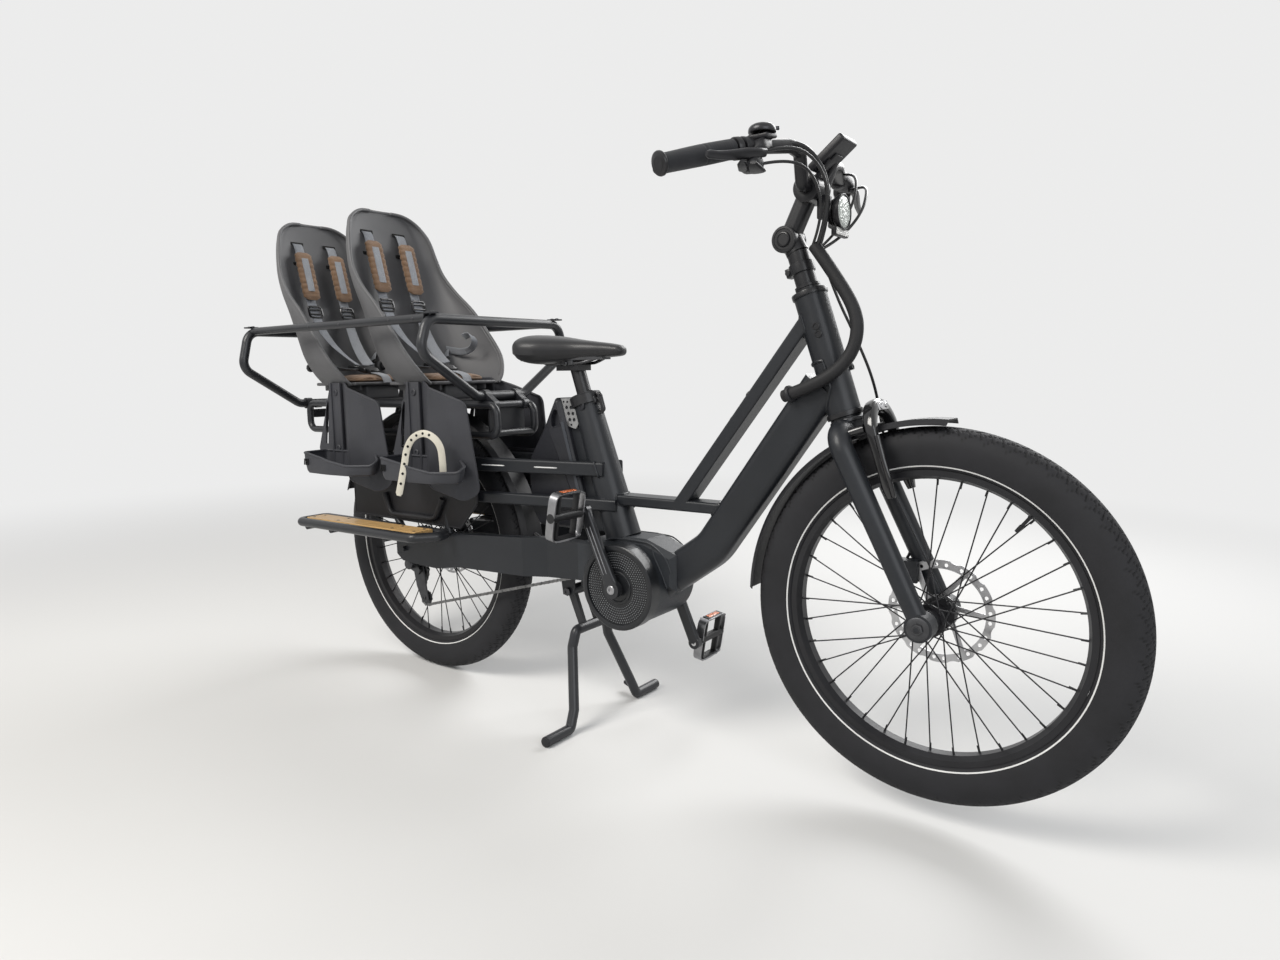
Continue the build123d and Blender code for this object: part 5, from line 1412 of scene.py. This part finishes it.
# Leg guards
# Dark moulded guards that hang from the seat pans: a faceted shield, an arm with a long
# slot, a channelled column and an open foot cup with a rolled rim.
guard_grey = surface("guard_grey", (0.036, 0.037, 0.043), 0.5, vary=0.14, patch=8, bump=0.4, grain=1000.0)


def rounded(outline, radius, steps=5):
    """Outline with its corners rounded."""
    run, corners = [], [Vector(corner) for corner in outline]
    for index, here in enumerate(corners):
        before, after = corners[index - 1] - here, corners[(index + 1) % len(corners)] - here
        reach = min(radius, before.length * 0.45, after.length * 0.45)
        start_at, end_at = here + before.normalized() * reach, here + after.normalized() * reach
        for step in range(steps + 1):
            t = step / steps
            run.append(start_at * (1 - t) ** 2 + here * 2 * t * (1 - t) + end_at * t * t)
    return run


def panel(outline, depth, thick, holes=(), cell=14.0, rim=2.6):
    """Moulded panel over an outline, its face set by a depth function, with rolled rims."""
    made, edges = bmesh.new(), []
    for loop in [outline, *holes]:
        verts = [made.verts.new((x, 0, z)) for x, z in loop]
        edges += [made.edges.new((verts[k], verts[(k + 1) % len(verts)])) for k in range(len(verts))]
    bmesh.ops.triangle_fill(made, edges=edges, use_beauty=True, normal=(0, -1, 0))
    for axis, normal in ((0, Vector((1, 0, 0))), (1, UP)):
        place = min(point[axis] for point in outline) + cell / 2
        while place < max(point[axis] for point in outline):
            whole = made.verts[:] + made.edges[:] + made.faces[:]
            bmesh.ops.bisect_plane(made, geom=whole, plane_co=normal * place, plane_no=normal)
            place += cell
    made.verts.index_update()
    count = len(made.verts)
    flat = [(vert.co.x, vert.co.z) for vert in made.verts]
    near = [tuple(vert.index for vert in face.verts) for face in made.faces]
    border = [tuple(vert.index for vert in edge.verts) for edge in made.edges if len(edge.link_faces) == 1]
    made.free()
    points = [(x, depth(x, z), z) for x, z in flat] + [(x, depth(x, z) - thick, z) for x, z in flat]
    faces = near + [tuple(count + k for k in reversed(face)) for face in near]
    faces += [(a, b, count + b, count + a) for a, b in border]
    parts = [(points, faces)]
    if rim:
        for loop in [outline, *holes]:
            parts.append(tube_skin([(x, depth(x, z) - thick / 2, z) for x, z in loop], rim, 8, closed=True))
    return joined(*parts)


shield_outline = rounded(
    [(148, 712), (262, 678), (288, 480), (257, 461), (150, 484), (110, 520), (110, 728)], 16
)


def shield_depth(x, z):
    """How far out the shield's faceted face stands."""
    lean = (z - 470) / 240
    first, second = 146 + 8 * lean, 232 - 6 * lean
    if x < first:
        return 113 + 23 * (x - 110) / max(first - 110, 1)
    if x < second:
        return 136 + 3.4 * (x - first) / (second - first)
    return 139.4 - 22 * (x - second) / max(290 - second, 1)


arm_outline = rounded([(60, 728), (112, 728), (112, 520), (-7, 552)], 9)
slot_outline = rounded([(36, 679), (48, 679), (34, 566), (20, 566)], 5)
cup_outline = rounded(
    [(36, 118), (44, 196), (150, 205), (240, 200), (286, 168), (286, 150), (230, 118)], 14, 6
)


def foot_cup():
    """Open cup: a wall that flares upwards, a rim that dips outside, and ribs on its floor."""
    centre = Vector((150, 162))
    rings_out, rings_in = [], []
    for height, share in ((503.5, 0.88), (510, 0.93), (525, 0.96), (540, 0.98), (553, 0.985)):
        out_ring, in_ring = [], []
        for point in cup_outline:
            reach = centre + (point - centre) * share
            inward = (centre - point).normalized() * 3.6
            ahead = min(max((point.x - 60) / 170, 0.0), 1.0)
            outer = min(max((point.y - 122) / 50, 0.0), 1.0)
            dip = 25.0 * ahead * ahead * (3 - 2 * ahead) * outer * (height - 503.5) / 49.5
            out_ring.append(Vector((reach.x, reach.y, height - dip)))
            in_ring.append(Vector((reach.x + inward.x, reach.y + inward.y, max(height - dip, 507.5))))
        rings_out.append(out_ring)
        rings_in.append(in_ring)
    wall = skin(rings_out + list(reversed(rings_in)))
    lip = [(a + b) / 2 for a, b in zip(rings_out[-1], rings_in[-1])]
    ribs = [tube_skin([(x, 128, 508.6), (x + 10, 192, 508.6)], 1.7, 6) for x in range(70, 227, 26)]
    return joined(wall, tube_skin(lip, 3.2, 10, closed=True), *ribs)


guard_bolt = [(0, 8.4), (2, 8.2), (3.0, 6.8), (3.0, 4.0), (1.6, 3.8), (1.6, 0)]
guard_points, guard_faces = mirrored(
    panel(shield_outline, shield_depth, 4.6, cell=12.0, rim=2.9),
    panel(arm_outline, lambda x, z: 113.0, 5.0, holes=[slot_outline], cell=60.0, rim=2.9),
    foot_cup(),
    slab((44, 5.4, 216), (86, 116.2, 615.5), None, 2.0, 2),
    slab((7, 9, 216), (67.5, 118.6, 615.5), None, 2.6, 3),
    slab((7, 9, 216), (104.5, 118.6, 615.5), None, 2.6, 3),
    slab((70, 50, 7.8), (75, 85, 720.2), None, 2.4, 2),
    turned(guard_bolt, (86, 118.6, 700), LEFT, 18),
    turned(guard_bolt, (86, 118.6, 560), LEFT, 18),
)
for name, shift in SEATS:
    shape = [(x + shift, y, z) for x, y, z in guard_points], guard_faces
    guards = piece("leg_guards_" + name + "_moulded", shape, guard_grey, "frame", crease=32)
    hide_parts("leg_guards_" + name)
    # Three near-black slabs on each foot cup's wall paint the shade of slots that are not cut.
    cup_slots = []
    for x in (52, 60, 68):
        for side in (-1, 1):
            place = (x + shift + 2, side * (196.8 + (x - 52) * 0.12), 531)
            cup_slots.append(slab((2.6, 3.0, 16), place, spun(8), 0.9, 2))
    piece("cup_slots_" + name, cup_slots, painted_hole_shade, "frame")

# Foot strap
# Cream rubber strap, moulded flat with a row of round holes through it, left standing in a
# loop out of the right foot cup.
strap_cream = surface("strap_cream", (0.56, 0.53, 0.45), 0.5, vary=0.06, patch=14, bump=0.15)
loop_run = catmull([
    (236, -172, 520), (238, -174, 550), (236, -177, 583), (222, -183, 604), (197.7, -190, 612.5),
    (171, -196, 602),
    (154, -200, 578), (147.5, -204, 545), (141, -209, 509), (132, -212, 474),
], 10)
facing = Vector((-0.585, 0.811, -0.05)).normalized()
rubber_section = [(-1, -0.5), (-0.85, -1), (0, -1), (0.85, -1), (1, -0.5)]
rubber_section += [(-a, -b) for a, b in rubber_section]
rings, dots = [], []
for index, point in enumerate(loop_run):
    along = heading(loop_run, index)
    across = along.cross(facing).normalized()
    through = along.cross(across)
    half = 7.6 if 2 < index < len(loop_run) - 2 else 5.4
    rings.append([point + across * a * half + through * b * 1.3 for a, b in rubber_section])
    # The round holes are not cut; near-black discs set through the strap are painted shade.
    if index >= 34 and (index - 34) % 6 == 0 and index < len(loop_run) - 4:
        dots.append(turned([(-1.7, 3.0), (1.7, 3.0)], point, through, 16))
piece("foot_strap", skin(rings), strap_cream, "frame", crease=50)
piece("foot_strap_holes", dots, painted_hole_shade, "frame")

# Running boards
# Strips of laminated bamboo glued side by side and oiled. They lie flush in the bent steel
# tubes and are screwed down from above.
bamboo = surface("bamboo", (0.5, 0.315, 0.13), 0.42, vary=0.3, patch=5.0, bump=0.12, grain=600.0, coat=0.15)
tree = bamboo.node_tree
long_grain = {"Vector": tree.nodes["place"].outputs["Object"], "Scale": (2.2, 60.0, 60.0)}
stretch = wired(tree, "ShaderNodeMapping", long_grain).outputs[0]
fibre = wired(tree, "ShaderNodeTexNoise", {"Vector": stretch, "Scale": 6.0, "Detail": 8.0, "Roughness": 0.7})
tree.links.new(fibre.outputs["Fac"], tree.nodes["tint"].inputs["Fac"])
tree.links.new(fibre.outputs["Fac"], tree.nodes["relief"].inputs["Height"])
strips, plank_screws = [], []
for side in (-1, 1):
    for index in range(4):
        strips.append(slab((420, 12.9, 12), (-76, side * (123.3 + 13.18 * (index + 0.5)), 379), None, 1.1, 2))
    for x in (-270, -170, 40, 118):
        for y in (134, 165):
            wood_screw = [(0, 4.2), (0.5, 4.0), (0.8, 3.0), (0.8, 1.6), (0.2, 1.4), (0.2, 0)]
            plank_screws.append(turned(wood_screw, (x, side * y, 384.7), UP, 14))
planks = piece("bamboo_strips", strips, bamboo, "frame", crease=30)
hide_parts("planks")
piece("plank_screws", plank_screws, dark_steel, "frame")

# Battery
# Faceted plastic case behind the seat tube with a finger recess in each side, a pale strip
# down its front edge and a perforated metal plate with a key lock at the top.
battery_case = surface(
    "battery_case", (0.0125, 0.013, 0.0165), 0.42, vary=0.15, patch=12, bump=0.35, grain=1300.0
)


def inset(outline, amount):
    """Outline moved inwards by an amount."""
    count, run = len(outline), []
    area = sum(outline[k - 1][0] * outline[k][1] - outline[k][0] * outline[k - 1][1] for k in range(count))
    sign = 1 if area > 0 else -1
    for index, point in enumerate(outline):
        along = (outline[(index + 1) % count] - outline[index - 1]).normalized()
        run.append(point + Vector((-along.y, along.x)) * amount * sign)
    return run


def upright(outline, y):
    """Outline of the side view, set at a place across the bike."""
    return [Vector((x, y, z)) for x, z in outline]


def carved(shape, cutter):
    """First skin with the second cut away."""
    whole, tool = [placed("cut", mended("cut", part, merge=0)) for part in (shape, cutter)]
    modifier = whole.modifiers.new("cut", "BOOLEAN")
    modifier.operation, modifier.solver, modifier.object = "DIFFERENCE", "MANIFOLD", tool
    result = baked(whole)
    bpy.data.objects.remove(tool)
    return [tuple(vert.co) for vert in result.vertices], [tuple(face.vertices) for face in result.polygons]


# along the bike, up
case_corners = [
    (436, 686), (452, 683), (520, 440), (524, 402), (380, 402), (356, 440), (355, 503), (357, 552), (402, 622)
]
case_outline = rounded(case_corners, 9)
recess_outline = rounded([(428, 645), (437, 661), (447, 661), (456, 626), (428, 620)], 5)
# distance across, how far the outline is drawn in
edge_steps = (
    (-31, 8.6), (-30.2, 7.0), (-22.8, 0.8), (-21, 0.2), (21, 0.2), (22.8, 0.8), (30.2, 7.0), (31, 8.6)
)
case = skin([upright(inset(case_outline, amount), y) for y, amount in edge_steps])
for side in (-1, 1):
    floor_run = upright(inset(recess_outline, 2.0), side * 22)
    case = carved(case, skin([floor_run, upright(recess_outline, side * 40)]))
battery = piece("battery_case", case, battery_case, "frame", crease=30)
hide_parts("battery")
lips, strips = [], []
for side in (-1, 1):
    lips.append(tube_skin(upright(recess_outline, side * 30.9), 1.3, 8, closed=True))
    strip_run = sided([(459, 30.6, 634), (474, 30.8, 580), (490, 30.8, 522), (503, 30.6, 474)], side)
    strips.append(ribbon(strip_run, (1, 0, 0.25), 8, 1.8))
battery_strip = surface("battery_strip", (0.038, 0.042, 0.05), 0.4, vary=0.15, bump=0.1)
piece("battery_lips", lips, battery_case, "frame")
piece("battery_strip", strips, battery_strip, "frame")
plate_outline = rounded([(449, 683), (502, 684), (509, 652), (491, 618), (463, 626)], 6)
plate_holes = []
for radius, centres in (
    (2.6, ((458, 676), (468, 676), (478, 676.5), (488, 677), (497, 676))),
    (4.0, ((466, 664), (478, 664), (490, 664), (471, 651), (483, 651), (495, 651), (474, 638), (486, 638))),
    (2.8, ((478, 627),)),
):
    for x, z in centres:
        plate_holes.append(
            [Vector((x + radius * math.cos(turn), z + radius * math.sin(turn))) for turn in turns(12)]
        )
bracket_steel = surface("bracket_steel", (0.4, 0.4, 0.4), 0.34, metal=0.95, vary=0.15, patch=30, bump=0.12)
connector = panel(plate_outline, lambda x, z: -20.0, 2.2, holes=plate_holes, cell=60.0, rim=0)
piece("connector_plate", connector, bracket_steel, "frame", crease=30)
base = mirrored(skin([upright(inset(plate_outline, 1.0), y) for y in (-20.0, -13.0)]))
lock_profile = [(0, 9.4), (1.2, 9.2), (2.0, 7.8), (2.0, 3.4), (0.8, 3.2), (0.8, 0)]
lock_face = turned(lock_profile, (512, -29.2, 668), -LEFT, 28)
piece("connector_base", [base, lock_face], battery_case, "frame", crease=30)

# Saddle and post
# Thick black saddle moulded over a plastic base, on two steel rails clamped to the post.
# A quick-release collar with a looped lever closes the seat tube round the post.
saddle_cover = surface(
    "saddle_cover", (0.0105, 0.0105, 0.012), 0.46, vary=0.14, patch=14, bump=0.45, grain=900.0, coat=0.08,
    sheen=0.1,
)
dress(black_paint, "seatpost")
# along the bike, half width, underside, top
saddle_table = [
    (346.6, 34, 778, 806), (351, 58, 770, 814), (366, 78, 762, 818.6), (390, 88, 757, 820),
    (424, 80, 756, 817),
    (456, 60, 758, 812.6), (492, 38, 762, 807), (530, 26, 766, 802), (572, 20.5, 768, 796.6),
    (598, 16.5, 770, 791.6),
    (605.6, 9, 774, 786),
]
rings = []
for x, half, low, high in catmull(saddle_table, 5):
    middle, ring = low + 0.52 * (high - low), []
    for turn in turns(40):
        across, tall = math.cos(turn), math.sin(turn)
        y = math.copysign(abs(across) ** 0.72, across) * half * (1.0 if tall > -0.2 else 0.93)
        z = middle + (high - middle) * tall ** 0.92 if tall >= 0 else middle - (middle - low) * abs(tall) ** 0.5
        ring.append(Vector((x, y, z)))
    rings.append(ring)
saddle = piece("saddle_top", skin(rings), saddle_cover, "frame", crease=50)
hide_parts("saddle")
base_rings = []
for x, width in ((372, 60), (420, 62), (470, 34), (560, 14)):
    base_rings.append([(x, side * width, z) for side, z in ((-1, 764), (1, 764), (1, 770), (-1, 770))])
under = [skin(base_rings)]
# middle of the left rail
rail_run = [(396, 26, 764), (416, 23, 757.5), (440, 22, 757), (500, 22, 757), (520, 20, 760), (548, 12, 768)]
for side in (-1, 1):
    under.append(tube_skin(catmull(sided(rail_run, side), 6), 3.5, 12))
    under.append(slab((36, 12, 15), (472, side * 22, 760), None, 3.0, 3))
    rail_bolt = [(0, 5.4), (3.4, 5.4), (4.2, 4.4), (4.2, 2.4), (2.4, 2.2), (2.4, 0)]
    under.append(turned(rail_bolt, (472, side * 27.6, 757), LEFT * side, 16))
piece("saddle_rails", under, dark_steel, "frame", crease=30)
collar = [(0, 33.1), (0.8, 34.2), (20.6, 34.2), (21.8, 33.0), (22.2, 30.0)]
lever_loop = [
    (531, -6, 694), (522, -6, 698), (515, -6, 694), (528, -6, 662), (534, -6, 655), (545, -6, 653),
    (552, -6, 659),
    (540, -6, 691),
]
collar_parts = [
    turned(collar, (596 - (668 - 392) / math.tan(SEAT), 0, 668), seat_lean, 56),
    slab((20, 24, 17), (528, -2, 679), spun(-18), 4.0, 3),
    tube_skin(catmull(lever_loop, 6, closed=True), 3.0, 10, closed=True),
]
piece("post_collar", collar_parts, black_paint, "frame", crease=34)

# Stand and pedals
# End plugs on the stand's feet and a tread lever on the left one. Each pedal is a toothed
# metal cage round a moulded body on a steel pin, with amber reflectors in both ends.
foot_x = 533.0
foot_z = AXLE_HEIGHT - (AXLE_HEIGHT - 11 + foot_x * math.sin(PARKED_PITCH)) / math.cos(PARKED_PITCH)
plugs, nuts = [], []
for side in (-1, 1):
    plug = [(0, 10.9), (2.4, 10.8), (4.2, 9.6), (5.0, 7.0), (5.2, 0)]
    plugs.append(turned(plug, (foot_x, side * 193.6, foot_z), LEFT * side, 24))
    pin_nut = [(0, 9.6), (2.0, 9.4), (3.0, 8.0), (3.0, 4.0), (1.4, 3.8), (1.4, 0)]
    nuts.append(turned(pin_nut, (470, side * 43.6, 265), LEFT * side, 6))
# ahead, side and up from the foot, half width, half height
tread = [(-2, 128, 3, 7, 4.2), (-16, 132, 8, 8.5, 4.2), (-34, 138, 10, 9.5, 4.2), (-50, 144, 10, 6.5, 4.2)]
plugs.append(lofted((0.2, 1, 0), 0.6, tread, base=Vector((foot_x, 0, foot_z))))
piece("stand_plugs", plugs, guard_plastic, "stand")
piece("stand_pin_nuts", nuts, dark_steel, "frame", crease=30)
amber = patterned_lens("amber", (0.62, 0.13, 0.015), 420.0, 0.14)
pedal_resin = surface("pedal_resin", (0.012, 0.012, 0.013), 0.46, vary=0.2, patch=20, bump=0.4, grain=1200.0)
CAGE_LONG, CAGE_WIDE = 47.5, 43.5


def moved(shape, matrix):
    """Skin carried by a matrix."""
    return [tuple(matrix @ Vector(point)) for point in shape[0]], shape[1]


for name, side in (("right", -1), ("left", 1)):
    middle = Vector((CRANK.x, side * 160, CRANK.z)) - crank_reach * side
    turn, body, cage = Matrix.Translation(middle) @ spun(-80), "pedal_" + name, []
    for a, b in squarish(64, 0.3):
        x, y = a * CAGE_LONG, b * CAGE_WIDE
        out = Vector((x / CAGE_LONG ** 2, y / CAGE_WIDE ** 2, 0)).normalized() * 1.5
        tall = 11.0 if abs(x) > 40 and int((y + 60) / 6) % 2 == 0 else 9.4
        corners = ((-out, -9.4), (out, -tall), (out, tall), (-out, 9.4))
        cage.append([Vector((x, y, 0)) + reach + UP * z for reach, z in corners])
    barrel = [(-45.4, 6), (-45.2, 9.6), (-42, 10), (-20, 9.0), (20, 9.0), (42, 10), (45.2, 9.6), (45.4, 6)]
    core = [turned(barrel, (0, 0, 0), LEFT, 24)]
    core += [slab((90, 7, 13), (0, y, 0), None, 2.2, 2) for y in (-27, 27)]
    core += [slab((7, 60, 17), (x, 0, 0), None, 1.8, 2) for x in (-46.6, 46.6)]
    made = piece(
        "pedal_core_" + name, moved(joined(*core), turn), pedal_resin, body, crease=34
    )
    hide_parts("pedal_" + name)
    piece(
        "pedal_cage_" + name, moved(skin(cage, closed=True), turn), crank_bright, body,
        crease=34
    )
    pin = [(0, 6), (22, 6), (22.4, 8.4), (27, 8.4), (27.4, 6.2), (34, 6.2)]
    pin = turned(pin, (middle.x, side * 93, middle.z), LEFT * side, 24)
    piece("pedal_pin_" + name, pin, bright_steel, body, crease=30)
    marks = [moved(slab((1.8, 42, 11), (x, 0, 0), None, 0.8, 2), turn) for x in (-50.2, 50.2)]
    piece("pedal_reflectors_" + name, marks, amber, body)
